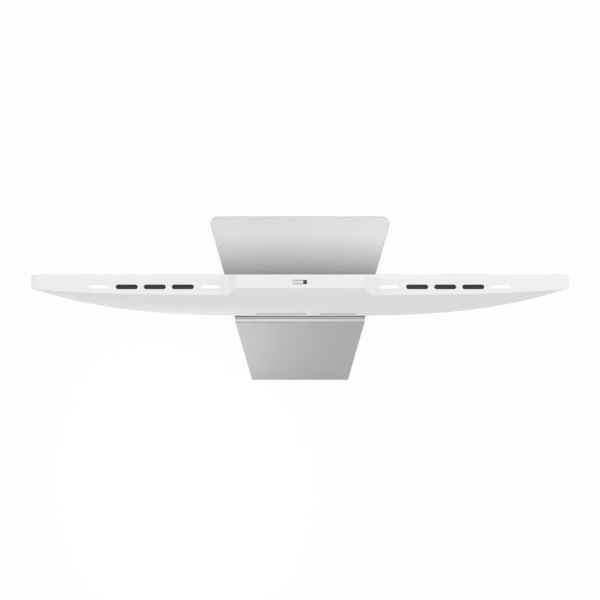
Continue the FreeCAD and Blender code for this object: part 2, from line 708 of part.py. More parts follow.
def front_bezel():
    """Rounded frame and skirt, with the camera's posts, the screw bosses, the pegs and the hooks."""
    ring = bezel_ring().cut(camera_cuts())
    post_x, post_end = CAMERA_BOARD_LENGTH / 2 - CAMERA_POST_INSET, depth_y(CAMERA_BOARD_DEPTH)
    added = both_sides(rod("y", post_x, LENS_Z, CAMERA_POST_RADIUS, depth_y(BEZEL_WALL), post_end))
    low, half = HEAD_BOTTOM + COVER_WALL + SKIRT_GAP, BOSS_WIDTH / 2
    for x in cover_screw_places():
        added.append(head_box(x - half, x + half, BEZEL_WALL, SKIRT_DEPTH, low, low + BOSS_HEIGHT))
    for x in key_board_pegs():
        added.append(rod("z", x, depth_y(PEG_DEPTH), 2 * PEG_RADIUS, low, KEY_BOARD_LOW))
        added.append(rod("z", x, depth_y(PEG_DEPTH), PEG_RADIUS, low, KEY_BOARD_LOW + PEG_END))
    ring = ring.fuse(added + snap_hooks()).removeSplitter()
    y, pilot_end = depth_y(COVER_SCREW_DEPTH), low + BOSS_HEIGHT - BOSS_END
    pilots = [rod("z", x, y, SCREW_RADIUS, HEAD_BOTTOM, pilot_end) for x in cover_screw_places()]
    return ring.cut(pilots)


def port_centres():
    for name, width, height, place in PORTS:
        yield name, MAIN_BOARD_END - place, width, height


def bay_limits():
    centres = [(x, width) for _, x, width, _ in port_centres()]
    return (min(x - w / 2 for x, w in centres) - BAY_MARGIN, max(x + w / 2 for x, w in centres) + BAY_MARGIN)


def connector_bay(grow):
    """The pocket for the plugs, or that pocket with its walls."""
    start, end = bay_limits()
    low, high = HEAD_BOTTOM - BAY_HEIGHT, BAY_CEILING + grow
    outline = rectangle(start - grow, end + grow, low, high, BAY_CORNER + grow)
    return prism("y", outline, depth_y(BAY_FLOOR - grow), depth_y(2 * HEAD_DEPTH))


def speaker_slots():
    """Cuts in the bottom wall, under each speaker's mouth."""
    slots = []
    depth = SKIRT_DEPTH + FIT_GAP + SPEAKER_THICKNESS / 2
    half, reach = SPEAKER_SLOT_WIDTH / 2, SPEAKER_SLOT_LENGTH / 2
    for i in range(SPEAKER_SLOTS):
        x = SPEAKER_PLACE + (i - (SPEAKER_SLOTS - 1) / 2) * SPEAKER_SLOT_PITCH
        slots += both_sides(head_box(x - half, x + half, depth - reach, depth + reach, HEAD_BOTTOM - OVERRUN,
                                     HEAD_BOTTOM + COVER_WALL + OVERRUN))
    return slots


def hinge_slot():
    """Window for the tongue, tall enough for the whole tilt."""
    reach = HEAD_DEPTH - HINGE_DEPTH
    up = reach * math.tan(math.radians(TILT_BACK)) + SHEET / 2 / math.cos(math.radians(TILT_BACK))
    down = reach * math.tan(math.radians(TILT_FORWARD)) + SHEET / 2 / math.cos(math.radians(TILT_FORWARD))
    half = NECK_WIDTH / 2 + TONGUE_SLOT_GAP
    gap = 2 * FIT_GAP
    outline = rectangle(-half, half, HINGE_HEIGHT - down - gap, HINGE_HEIGHT + up + gap, TONGUE_SLOT_CORNER)
    return prism("y", outline, depth_y(HEAD_DEPTH - 3 * COVER_WALL), depth_y(2 * HEAD_DEPTH))


def shutter_slot():
    half_length, half_width = SHUTTER_SLOT_LENGTH / 2, SHUTTER_SLOT_WIDTH / 2
    outline = rectangle(-half_length, half_length, depth_y(SHUTTER_PLACE - half_width),
                        depth_y(SHUTTER_PLACE + half_width), SHUTTER_SLOT_CORNER)
    return prism("z", outline, HUMP_TOP - 2 * COVER_WALL, HUMP_TOP + OVERRUN)


def bottom_cuts():
    """Speaker slots, key openings and screw holes in the bottom wall."""
    low, top = HEAD_BOTTOM - OVERRUN, HEAD_BOTTOM + COVER_WALL + OVERRUN
    keys = [stadium("z", x, depth_y(KEY_PLACE), length + 2 * FIT_GAP, KEY_WIDTH + 2 * FIT_GAP, low, top)
            for _, x, length in key_places()]
    holes = [rod("z", x, depth_y(COVER_SCREW_DEPTH), SCREW_RADIUS + FIT_GAP, low, top)
             for x in cover_screw_places()]
    return speaker_slots() + keys + holes


def port_windows():
    """Openings in the bay's ceiling, one round each connector."""
    low, top = BAY_CEILING - OVERRUN, BAY_CEILING + COVER_WALL + OVERRUN
    windows = []
    for _, x, width, height in port_centres():
        half, back = width / 2 + PORT_GAP, BOARD_BACK + height + PORT_GAP
        windows.append(head_box(x - half, x + half, BOARD_BACK - PORT_GAP, back, low, top))
    return windows


def rear_cover():
    """Moulded shell: pillow back, bay for the plugs, and all its openings."""
    outer = head_slab(0, BEZEL_DEPTH, HEAD_DEPTH + OVERRUN).common(under_back())
    inner = head_slab(COVER_WALL, BEZEL_DEPTH - OVERRUN, HEAD_DEPTH + OVERRUN).common(under_back(COVER_WALL))
    shell = outer.cut(inner.cut(connector_bay(COVER_WALL))).cut(connector_bay(0))
    openings = [hinge_slot(), shutter_slot()] + vents() + louvres() + bottom_cuts() + port_windows()
    return shell.cut(openings + hook_pockets())


def cover_screws():
    length = COVER_WALL + SKIRT_GAP + COVER_SCREW_GRIP
    return [screw("z", x, depth_y(COVER_SCREW_DEPTH), HEAD_BOTTOM, length, -1) for x in cover_screw_places()]


# ---------------------------------------------------------------- LCD module

def lcd_cell():
    return head_box(-CELL_HALF_WIDTH, CELL_HALF_WIDTH, CELL_RECESS, BEZEL_WALL, CELL_LOW, CELL_TOP)


def guide_sheet(depth, thickness):
    return head_box(-GUIDE_HALF_WIDTH, GUIDE_HALF_WIDTH, depth, depth + thickness, GUIDE_LOW, GUIDE_TOP)


def mould_frame():
    """Plastic frame round the light guide. A step at its front holds the films and the glass."""
    body = head_box(-MODULE_HALF_WIDTH, MODULE_HALF_WIDTH, BEZEL_WALL, TRAY_DEPTH, MODULE_LOW, MODULE_TOP)
    reach = GUIDE_HALF_WIDTH + GUIDE_GAP
    well = head_box(-reach, reach, FILM_DEPTH, TRAY_DEPTH + OVERRUN, MODULE_LOW - OVERRUN,
                    GUIDE_TOP + GUIDE_GAP)
    half = ACTIVE_WIDTH / 2 + WINDOW_MARGIN
    window_low = CELL_LOW + LOW_BORDER - WINDOW_MARGIN
    window_top = window_low + ACTIVE_HEIGHT + 2 * WINDOW_MARGIN
    window = head_box(-half, half, BEZEL_WALL - OVERRUN, FILM_DEPTH + OVERRUN, window_low, window_top)
    return body.cut([well, window])


def led_bar():
    """Aluminium strip with a row of LEDs that shine up into the light guide."""
    depth0, depth1 = FILM_DEPTH, REFLECTOR_DEPTH
    strip = head_box(-GUIDE_HALF_WIDTH, GUIDE_HALF_WIDTH, depth0, depth1, MODULE_LOW, MODULE_LOW + LED_STRIP)
    pitch = 2 * GUIDE_HALF_WIDTH / LED_COUNT
    chips = []
    for i in range(LED_COUNT):
        x = -GUIDE_HALF_WIDTH + pitch * (i + 0.5)
        chips.append(head_box(x - LED_LENGTH / 2, x + LED_LENGTH / 2, GUIDE_DEPTH, depth1 - FIT_GAP,
                              MODULE_LOW + LED_STRIP, MODULE_LOW + LED_STRIP + LED_HEIGHT))
    return strip.fuse(chips)


def panel_tray():
    """Pressed steel back of the module, folded forward round three sides, with stiffening beads."""
    half, edge = MODULE_HALF_WIDTH, MODULE_HALF_WIDTH + TRAY_SHEET
    top_edge = MODULE_TOP + TRAY_SHEET
    back = head_box(-edge, edge, TRAY_DEPTH, TRAY_BACK, MODULE_LOW, top_edge)
    folds = both_sides(head_box(half, edge, FILM_DEPTH, TRAY_DEPTH, MODULE_LOW, top_edge))
    folds.append(head_box(-half, half, FILM_DEPTH, TRAY_DEPTH, MODULE_TOP, top_edge))
    x = half - BEAD_INSET
    bead_back = TRAY_BACK + BEAD_DEPTH
    beads = both_sides(head_box(x - BEAD_WIDTH / 2, x + BEAD_WIDTH / 2, TRAY_BACK, bead_back,
                                MODULE_LOW + BEAD_END_INSET, MODULE_TOP - BEAD_END_INSET))
    bead_top = MODULE_TOP - TOP_BEAD_DROP
    beads.append(head_box(-half + TOP_BEAD_INSET, half - TOP_BEAD_INSET, TRAY_BACK, bead_back,
                          bead_top - BEAD_WIDTH, bead_top))
    holes = [rod("y", x, z, SCREW_RADIUS, depth_y(TRAY_DEPTH - OVERRUN), depth_y(TRAY_BACK + OVERRUN))
             for x, z in tray_screw_places()]
    return back.fuse(folds + beads).removeSplitter().cut(holes)


def source_board():
    """Narrow driver board along the bottom of the module."""
    low, top = SOURCE_BOARD_LOW, SOURCE_BOARD_LOW + SOURCE_BOARD_HEIGHT
    back = TRAY_BACK + SOURCE_BOARD
    board = head_box(-SOURCE_BOARD_HALF, SOURCE_BOARD_HALF, TRAY_BACK, back, low, top)
    half = SOURCE_CHIP_LENGTH / 2
    chips = [head_box(x - half, x + half, back, back + SOURCE_CHIP_HEIGHT, low + SOURCE_CHIP_INSET,
                      top - SOURCE_CHIP_INSET) for x in (-SOURCE_CHIP_PITCH, 0, SOURCE_CHIP_PITCH)]
    return board.fuse(chips)


def flex_tails():
    """Film tails that fold from the glass's lower edge round the tray to the driver board."""
    low, t = MODULE_LOW - FIT_GAP, TAIL_SHEET
    front, back = depth_y(BEZEL_WALL), depth_y(TRAY_BACK + SOURCE_BOARD)
    lap = SOURCE_BOARD_LOW + TAIL_LAP
    corners = [
        (front, low - t), (back + t, low - t), (back + t, lap), (back, lap),
        (back, low), (front + t, low), (front + t, MODULE_LOW), (front, MODULE_LOW),
    ]
    pitch = 2 * SOURCE_BOARD_HALF / TAIL_COUNT
    tails = []
    for i in range(TAIL_COUNT):
        x = -SOURCE_BOARD_HALF + pitch * (i + 0.5)
        tails.append(prism("x", corners, x - TAIL_WIDTH / 2, x + TAIL_WIDTH / 2))
    return tails


# ---------------------------------------------------------------- chassis and electronics

def board_screw_places(start, width, low, height):
    inset = BOARD_SCREW_INSET
    ends = (start + inset, start + width - inset)
    levels = (low + inset, low + height - inset)
    return [(x, z) for x in ends for z in levels]


def all_board_screws():
    main = board_screw_places(MAIN_BOARD_START, MAIN_BOARD_WIDTH, BOARD_LOW, MAIN_BOARD_HEIGHT)
    driver = board_screw_places(DRIVER_BOARD_START, DRIVER_BOARD_WIDTH, DRIVER_BOARD_LOW, DRIVER_BOARD_HEIGHT)
    return main + driver


def hinge_screw_places():
    return [(x, HINGE_HEIGHT + rise) for x in HEAD_SCREWS for rise in (-HEAD_SCREW_RISE, HEAD_SCREW_RISE)]


def tray_screw_places():
    """Screws through the chassis's feet, at its lower and upper edge."""
    low, high = CHASSIS_LEG_LOW - CHASSIS_FOOT / 2, CHASSIS_LEG_TOP + CHASSIS_SHEET + CHASSIS_FOOT / 2
    return [(x, z) for x in TRAY_SCREWS for z in (low, high)]


def chassis_holes():
    """Holes for the boards', the hinge's and the tray's screws, and for the driver that reaches the last."""
    front, back = depth_y(CHASSIS_DEPTH - OVERRUN), depth_y(CHASSIS_BACK + OVERRUN)
    tip = depth_y(BOARD_DEPTH + OVERRUN)
    holes = [rod("y", x, z, SCREW_RADIUS, front, tip) for x, z in all_board_screws()]
    holes += [rod("y", x, z, SCREW_RADIUS, front, back) for x, z in hinge_screw_places()]
    for x, z in tray_screw_places():
        holes.append(rod("y", x, z, SCREW_RADIUS, depth_y(TRAY_BACK - OVERRUN),
                         depth_y(TRAY_BACK + CHASSIS_SHEET + OVERRUN)))
        if z < CHASSIS_LEG_TOP:
            holes.append(rod("y", x, z, SCREW_HEAD_RADIUS + OVERRUN, front, back))
    return holes


def chassis_windows():
    """Lightening windows along the top, and the one that the flat cable passes through."""
    front, back = depth_y(CHASSIS_DEPTH - OVERRUN), depth_y(CHASSIS_BACK + OVERRUN)
    top = CHASSIS_LOW + CHASSIS_HEIGHT - CHASSIS_WINDOW_DROP
    half = CHASSIS_WINDOW_LENGTH / 2
    windows = []
    for step in (0.5, 1.5):
        x = step * CHASSIS_WINDOW_PITCH
        outline = rectangle(x - half, x + half, top - CHASSIS_WINDOW_HEIGHT, top, CHASSIS_WINDOW_CORNER)
        windows += both_sides(prism("y", outline, front, back))
    cable = head_box(FLEX_X0 - CHASSIS_FLEX_GAP, FLEX_X1 + CHASSIS_FLEX_GAP, CHASSIS_DEPTH - OVERRUN,
                     CHASSIS_BACK + OVERRUN, FLEX_Z - FLEX_RISE, FLEX_Z + FLEX_RISE)
    return windows + [cable]


def main_chassis():
    """Sheet-steel hat with feet on the tray. It carries the boards and the hinge."""
    top = CHASSIS_LOW + CHASSIS_HEIGHT
    reach = CHASSIS_HALF_WIDTH - CHASSIS_LEG_INSET
    foot_back = TRAY_BACK + CHASSIS_SHEET
    leg_top = CHASSIS_LEG_TOP + CHASSIS_SHEET
    outline = rectangle(-CHASSIS_HALF_WIDTH, CHASSIS_HALF_WIDTH, CHASSIS_LOW, top, CHASSIS_CORNER)
    plate = prism("y", outline, depth_y(CHASSIS_DEPTH), depth_y(CHASSIS_BACK))
    leg_low = CHASSIS_LEG_LOW
    low_leg = head_box(-reach, reach, TRAY_BACK, CHASSIS_DEPTH, leg_low, leg_low + CHASSIS_SHEET)
    low_foot = head_box(-reach, reach, TRAY_BACK, foot_back, leg_low - CHASSIS_FOOT, leg_low)
    top_leg = head_box(-reach, reach, TRAY_BACK, CHASSIS_BACK, CHASSIS_LEG_TOP, leg_top)
    top_foot = head_box(-reach, reach, TRAY_BACK, foot_back, leg_top, leg_top + CHASSIS_FOOT)
    standoffs = [rod("y", x, z, STANDOFF_RADIUS, depth_y(CHASSIS_BACK), depth_y(BOARD_DEPTH))
                 for x, z in all_board_screws()]
    body = plate.fuse([low_leg, low_foot, top_leg, top_foot] + standoffs).removeSplitter()
    return body.cut(chassis_windows() + chassis_holes())


def tray_screws():
    return [screw("y", x, z, depth_y(TRAY_BACK + CHASSIS_SHEET), CHASSIS_SHEET + TRAY_SHEET, 1)
            for x, z in tray_screw_places()]


def board_plate(start, width, low, height):
    plate = head_box(start, start + width, BOARD_DEPTH, BOARD_BACK, low, low + height)
    holes = [rod("y", x, z, SCREW_RADIUS, depth_y(BOARD_DEPTH - OVERRUN), depth_y(BOARD_BACK + OVERRUN))
             for x, z in board_screw_places(start, width, low, height)]
    return plate.cut(holes)


def main_board():
    """Board with its chips at the back and the flat cable's socket in front."""
    plate = board_plate(MAIN_BOARD_START, MAIN_BOARD_WIDTH, BOARD_LOW, MAIN_BOARD_HEIGHT)
    x, z, side = PROCESSOR
    chips = []
    for across, up, width, height in CHIPS + ((x, z, side, side),):
        start, low = MAIN_BOARD_START + across, BOARD_LOW + up
        chips.append(head_box(start, start + width, BOARD_BACK, BOARD_BACK + CHIP_HEIGHT, low, low + height))
    low = FLEX_Z + FLEX_SOCKET_RISE
    socket = head_box(FLEX_X0 - OVERRUN, FLEX_X1 + OVERRUN, BOARD_DEPTH - FLEX_SOCKET, BOARD_DEPTH, low,
                      low + FLEX_SOCKET_HEIGHT)
    return plate.fuse(chips + [socket])


def processor_heat_sink():
    """Finned sink with the processor's outline, on top of it."""
    across, up, side = PROCESSOR
    start, low = MAIN_BOARD_START + across, BOARD_LOW + up
    base_depth = BOARD_BACK + CHIP_HEIGHT
    fin_depth = base_depth + HEAT_SINK_BASE
    base = head_box(start, start + side, base_depth, fin_depth, low, low + side)
    pitch = (side - FIN) / (FIN_COUNT - 1)
    fins = []
    for i in range(FIN_COUNT):
        x = start + i * pitch
        fins.append(head_box(x, x + FIN, fin_depth, fin_depth + FIN_HEIGHT, low, low + side))
    return base.fuse(fins).removeSplitter()


def led_driver_board():
    """Board with two inductors and two capacitors."""
    plate = board_plate(DRIVER_BOARD_START, DRIVER_BOARD_WIDTH, DRIVER_BOARD_LOW, DRIVER_BOARD_HEIGHT)
    back = depth_y(BOARD_BACK)
    added = []
    for i in range(2):
        x = DRIVER_BOARD_START + INDUCTOR_PLACE[0] + i * INDUCTOR_PITCH
        z = DRIVER_BOARD_LOW + INDUCTOR_PLACE[1]
        outline = rectangle(x, x + INDUCTOR_SIZE, z, z + INDUCTOR_SIZE, INDUCTOR_CORNER)
        added.append(prism("y", outline, back, back + INDUCTOR_HEIGHT))
        x = DRIVER_BOARD_START + CAPACITOR_PLACE[0] + i * CAPACITOR_PITCH
        z = DRIVER_BOARD_LOW + CAPACITOR_PLACE[1]
        added.append(rod("y", x, z, CAPACITOR_RADIUS, back, back + CAPACITOR_HEIGHT))
    return plate.fuse(added)


def panel_flex_cable():
    """Flat cable from the driver board through the chassis to the front of the main board."""
    t = TAIL_SHEET
    start, end = depth_y(TRAY_BACK + SOURCE_BOARD), depth_y(BOARD_DEPTH - FLEX_SOCKET) - t
    low, high = SOURCE_BOARD_LOW + TAIL_LAP, FLEX_Z + FLEX_SOCKET_RISE + FLEX_LAP
    corners = [
        (start, low), (start + t, low), (start + t, FLEX_Z), (end + t, FLEX_Z),
        (end + t, high), (end, high), (end, FLEX_Z + t), (start, FLEX_Z + t),
    ]
    return prism("x", corners, FLEX_X0, FLEX_X1)


def board_screws():
    return [screw("y", x, z, depth_y(BOARD_BACK), BOARD + SCREW_GRIP, 1) for x, z in all_board_screws()]


def port_shell(x, width, height, mouth):
    """Metal connector on the back of the main board, open downwards, with its contact tongue."""
    low, top = mouth, mouth + PORT_LENGTH
    half = width / 2
    shell = head_box(x - half, x + half, BOARD_BACK, BOARD_BACK + height, low, top)
    inner, root = half - PORT_SHELL, top - PORT_BACK_WALL
    hollow = head_box(x - inner, x + inner, BOARD_BACK + PORT_SHELL, BOARD_BACK + height - PORT_SHELL,
                      low - OVERRUN, root)
    reach, middle = half - PORT_TONGUE_INSET, BOARD_BACK + height / 2
    tongue = head_box(x - reach, x + reach, middle - PORT_TONGUE / 2, middle + PORT_TONGUE / 2,
                      low + PORT_TONGUE_STEP, root)
    return shell.cut(hollow).fuse(tongue)


def round_jack(x, width, height, mouth, radius, pin):
    """Moulded jack with a round mouth, and a centre pin where it has one."""
    half = width / 2
    body = head_box(x - half, x + half, BOARD_BACK, BOARD_BACK + height, mouth, mouth + PORT_LENGTH)
    centre, root = depth_y(BOARD_BACK + height / 2), mouth + PORT_LENGTH - PORT_BACK_WALL
    jack = body.cut(rod("z", x, centre, radius, mouth - OVERRUN, root))
    if pin:
        jack = jack.fuse(rod("z", x, centre, pin, mouth + PORT_TONGUE_STEP, root))
    return jack


def ports():
    """Every connector in the bay. Each one passes through its window to the bay's ceiling."""
    made = {}
    for name, x, width, height in port_centres():
        if name == "dc_power_jack":
            made[name] = round_jack(x, width, height, BAY_CEILING, POWER_JACK_RADIUS, POWER_PIN_RADIUS)
        elif name == "audio_jack":
            made[name] = round_jack(x, width, height, BAY_CEILING, AUDIO_JACK_RADIUS, 0)
        else:
            made[name] = port_shell(x, width, height, BAY_CEILING)
    return made


def speaker(side):
    """Slim box speaker that fires down through the bottom wall."""
    x = side * SPEAKER_PLACE
    low = HEAD_BOTTOM + COVER_WALL
    front = SKIRT_DEPTH + FIT_GAP
    back = front + SPEAKER_THICKNESS
    half, reach = SPEAKER_LENGTH / 2, SPEAKER_MOUTH_LENGTH / 2
    outline = rectangle(x - half, x + half, low, low + SPEAKER_HEIGHT, SPEAKER_CORNER)
    case = prism("y", outline, depth_y(front), depth_y(back))
    mouth = head_box(x - reach, x + reach, front + SPEAKER_WALL, back - SPEAKER_WALL, low - OVERRUN,
                     low + SPEAKER_MOUTH_DEPTH)
    return case.cut(mouth)


def key_board():
    """Board over the keys, with one switch for each."""
    start, end = key_board_pegs()
    low, margin = KEY_BOARD_LOW, KEY_BOARD_MARGIN
    board = head_box(start - margin, end + margin, BEZEL_DEPTH, KEY_PLACE + KEY_BOARD_BACK,
                     low, low + KEY_BOARD)
    holes = [rod("z", x, depth_y(PEG_DEPTH), PEG_RADIUS, low - OVERRUN, low + KEY_BOARD + OVERRUN)
             for x in (start, end)]
    half, reach = SWITCH_LENGTH / 2, SWITCH_WIDTH / 2
    switches = [head_box(x - half, x + half, KEY_PLACE - reach, KEY_PLACE + reach, low - SWITCH_HEIGHT, low)
                for _, x, _ in key_places()]
    return board.cut(holes).fuse(switches)


def key(x, length):
    """Key cap with a flange that rests on the inside of the bottom wall."""
    inner, step = HEAD_BOTTOM + COVER_WALL, 2 * KEY_FLANGE_STEP
    seat, y = inner + KEY_SEAT, depth_y(KEY_PLACE)
    cap = stadium("z", x, y, length, KEY_WIDTH, HEAD_BOTTOM - KEY_PROUD, seat)
    flange = stadium("z", x, y, length + step, KEY_WIDTH + step, seat, inner + KEY_FLANGE - KEY_PLAY)
    return cap.fuse(flange).removeSplitter()


# ---------------------------------------------------------------- camera and its shutter

def camera_window():
    """Dark lens cover, flush in the front of the hump."""
    return stadium("y", 0, LENS_Z, WINDOW_LENGTH - 2 * WINDOW_GAP, WINDOW_HEIGHT - 2 * WINDOW_GAP, FRONT_Y,
                   depth_y(WINDOW_THICKNESS))


def camera_module():
    """Board on the bezel's posts, with the camera's housing and barrel in the middle."""
    half_length, half_height = CAMERA_BOARD_LENGTH / 2, CAMERA_BOARD_HEIGHT / 2
    board = head_box(-half_length, half_length, CAMERA_BOARD_DEPTH, CAMERA_BOARD_DEPTH + CAMERA_BOARD,
                     LENS_Z - half_height, LENS_Z + half_height)
    front = BLADE_DEPTH + SHUTTER_SHEET + FIT_GAP
    back = front + BARREL_LENGTH
    reach, rise = CAMERA_HOUSING_WIDTH / 2, CAMERA_HOUSING_HEIGHT / 2
    housing = head_box(-reach, reach, back, CAMERA_BOARD_DEPTH, LENS_Z - rise, LENS_Z + rise)
    barrel = rod("y", 0, LENS_Z, BARREL_RADIUS, depth_y(front), depth_y(back))
    return board.fuse([housing, barrel])


def knob_pegs(start, end):
    """Square pegs that hold the knob in its slide, between two heights."""
    half = KNOB_PEG / 2
    pegs = []
    for x in (KNOB_START + KNOB_PEG_INSET, KNOB_START + KNOB_LENGTH - KNOB_PEG_INSET):
        pegs.append(head_box(x - half, x + half, SHUTTER_PLACE - half, SHUTTER_PLACE + half, start, end))
    return pegs


def shutter_knob():
    half = SHUTTER_SLOT_WIDTH / 2 - KNOB_GAP
    front, back = SHUTTER_PLACE - half, SHUTTER_PLACE + half
    cap = head_box(KNOB_START, KNOB_START + KNOB_LENGTH, front, back, SLIDE_TOP, HUMP_TOP + KNOB_PROUD)
    return cap.fuse(knob_pegs(SLIDE_TOP - SHUTTER_SHEET, SLIDE_TOP))


def privacy_shutter():
    """Slide under the top wall, folded down into a blade in front of the lens."""
    start, end = KNOB_START - SLIDE_OVER, KNOB_START + KNOB_LENGTH - SLIDE_SHORT
    low, back = SLIDE_TOP - SHUTTER_SHEET, BLADE_DEPTH + SHUTTER_SHEET
    slide = head_box(start, end, BLADE_DEPTH, SHUTTER_PLACE + SHUTTER_SLOT_WIDTH / 2, low, SLIDE_TOP)
    blade = head_box(start, end, BLADE_DEPTH, back, LENS_Z - LENS_RADIUS - LENS_COVER, low)
    sight = rod("y", 0, LENS_Z, LENS_RADIUS, depth_y(BLADE_DEPTH - OVERRUN), depth_y(back + OVERRUN))
    return slide.fuse(blade).removeSplitter().cut([sight] + knob_pegs(low - OVERRUN, SLIDE_TOP + OVERRUN))


# ---------------------------------------------------------------- stand

def sheet_section(centre, outward, half_width):
    """Closed section across the sheet, beside a bend's centre, with bevelled corners."""
    inner, outer = centre + outward * BEND_RADIUS, centre + outward * OUTER_BEND
    bevel = outward * SHEET_EDGE
    side, shoulder = Vector(half_width, 0, 0), Vector(half_width - SIDE_BEVEL, 0, 0)
    corners = [
        inner + shoulder, inner + side + bevel, outer + side - bevel, outer + shoulder,
        outer - shoulder, outer - side - bevel, inner - side + bevel, inner - shoulder,
    ]
    return Part.makePolygon(corners + corners[:1])


def foot_plate():
    """Flat foot, up to the start of the rear fold, with bevelled edges."""
    wide, waist, front = FOOT_FRONT_WIDTH / 2, WAIST_WIDTH / 2, -STAND_DEPTH / 2
    corners = [
        (-wide, front, FOOT_CORNER_RADIUS), (wide, front, FOOT_CORNER_RADIUS),
        (waist, FOLD_Y), (-waist, FOLD_Y),
    ]
    plate = prism("z", corners, FOOT_LOW, FOOT_TOP)
    rim = [e for e in plate.Edges if e.BoundBox.ZLength < 1e-6 and e.BoundBox.YMin < FOLD_Y - 1e-3]
    return plate.makeChamfer(SHEET_EDGE, rim)


def upper_bend(centre, outward, leg_half_width):
    """Bend from the leg into the level tongue. It goes on widening at the leg's rate."""
    up = Vector(0, 0, 1)
    half_way = (outward + up).normalize()
    points = [centre + direction * MIDDLE_BEND for direction in (outward, half_way, up)]
    path = Part.Wire([Part.Arc(*points).toShape()])
    ends = [sheet_section(centre, outward, leg_half_width), sheet_section(centre, up, NECK_WIDTH / 2)]
    return path.makePipeShell(ends, True, True)


def stand_plate():
    """One sheet: foot, rear fold, leaning leg, upper bend and the tongue that enters the head."""
    along_x, up = Vector(1, 0, 0), Vector(0, 0, 1)
    fold_centre, bend_centre = Vector(0, FOLD_Y, FOLD_Z), Vector(0, BEND_Y, BEND_Z)
    leg_line = bend_centre - fold_centre
    outward = Vector(0, leg_line.z, -leg_line.y).normalize()
    lean = math.atan2(outward.z, outward.y)
    bend_length = MIDDLE_BEND * (math.pi / 2 - lean)
    waist, neck = WAIST_WIDTH / 2, NECK_WIDTH / 2
    leg_top = waist + (neck - waist) * leg_line.Length / (leg_line.Length + bend_length)

    fold_start = Part.Face(sheet_section(fold_centre, -up, waist))
    fold = fold_start.revolve(fold_centre, along_x, 90 + math.degrees(lean))
    leg_ends = [sheet_section(fold_centre, outward, waist), sheet_section(bend_centre, outward, leg_top)]
    leg = Part.makeLoft(leg_ends, True, True)
    bend = upper_bend(bend_centre, outward, leg_top)
    tongue_start = Part.Face(sheet_section(bend_centre, up, neck))
    tongue = tongue_start.extrude(Vector(0, depth_y(TONGUE_END) - BEND_Y, 0))
    sheet = foot_plate().fuse([fold, leg, bend, tongue]).removeSplitter()
    low, high = TONGUE_LOW - OVERRUN, TONGUE_TOP + OVERRUN
    return sheet.cut([rod("z", x, y, SCREW_RADIUS, low, high) for x, y in base_screw_places()])


def pad_places():
    """Centres of the four pads, near the corners of the foot."""
    front, rear = -STAND_DEPTH / 2 + PAD_INSET, FOLD_Y - PAD_INSET
    share = PAD_INSET / FOOT_RUN
    rear_half_width = WAIST_WIDTH / 2 + share * (FOOT_FRONT_WIDTH - WAIST_WIDTH) / 2
    wide = FOOT_FRONT_WIDTH / 2 - PAD_INSET - PAD_LENGTH / 2
    narrow = rear_half_width - PAD_LENGTH / 2 - PAD_SIDE_GAP
    return [(side * x, y) for x, y in ((wide, front), (narrow, rear)) for side in (-1, 1)]


def foot_pads():
    return [stadium("z", x, y, PAD_LENGTH, PAD_WIDTH, 0, FOOT_LOW) for x, y in pad_places()]


# ---------------------------------------------------------------- hinge

def base_screw_places():
    """Screws that hold the stand's hinge bracket on the tongue."""
    y = depth_y(HEAD_DEPTH - COVER_WALL - BASE_BRACKET_GAP - SCREW_HEAD_RADIUS - FIT_GAP)
    return [(x, y) for x in BASE_SCREWS]


def eye(x0, x1):
    return rod("x", depth_y(HINGE_DEPTH), HINGE_HEIGHT, HINGE_EYE_RADIUS, x0, x1)


def hinge_base_bracket():
    """Steel bracket on the tongue, with a raised ear at each side that holds its pin."""
    front, rear = HINGE_DEPTH + HINGE_EYE_RADIUS, HEAD_DEPTH - COVER_WALL - BASE_BRACKET_GAP
    top = TONGUE_TOP + BRACKET_SHEET
    body = head_box(-BASE_EAR_OUTER, BASE_EAR_OUTER, front, rear, TONGUE_TOP, top)
    web = head_box(BASE_EAR_PLACE, BASE_EAR_OUTER, HINGE_DEPTH, rear, TONGUE_TOP,
                   HINGE_HEIGHT + HINGE_EYE_RADIUS)
    body = body.fuse(both_sides(eye(BASE_EAR_PLACE, BASE_EAR_OUTER)) + both_sides(web))
    reach = BASE_EAR_OUTER + OVERRUN
    bore = rod("x", depth_y(HINGE_DEPTH), HINGE_HEIGHT, HINGE_PIN_RADIUS, -reach, reach)
    low, high = TONGUE_TOP - OVERRUN, top + OVERRUN
    holes = [rod("z", x, y, SCREW_RADIUS, low, high) for x, y in base_screw_places()]
    return body.removeSplitter().cut([bore] + holes)


def hinge_head_bracket():
    """Steel bracket on the chassis, with an ear outside each of the stand's ears."""
    half_width, half_height = HINGE_PLATE_HALF_WIDTH, HINGE_PLATE_HEIGHT / 2
    depth = CHASSIS_BACK + BRACKET_SHEET
    outline = rectangle(-half_width, half_width, HINGE_HEIGHT - half_height, HINGE_HEIGHT + half_height,
                        HINGE_PLATE_CORNER)
    plate = prism("y", outline, depth_y(CHASSIS_BACK), depth_y(depth))
    end = HEAD_EAR_PLACE + EAR
    web = head_box(HEAD_EAR_PLACE, end, depth, HINGE_DEPTH, HINGE_HEIGHT - HINGE_EYE_RADIUS,
                   HINGE_HEIGHT + HINGE_EYE_RADIUS)
    ears = both_sides(eye(HEAD_EAR_PLACE, end)) + both_sides(web)
    reach = end + OVERRUN
    bore = rod("x", depth_y(HINGE_DEPTH), HINGE_HEIGHT, HINGE_PIN_RADIUS + PIN_CLEARANCE, -reach, reach)
    holes = [rod("y", x, z, SCREW_RADIUS, depth_y(CHASSIS_BACK - OVERRUN), depth_y(depth + OVERRUN))
             for x, z in hinge_screw_places()]
    return plate.fuse(ears).removeSplitter().cut([bore] + holes)


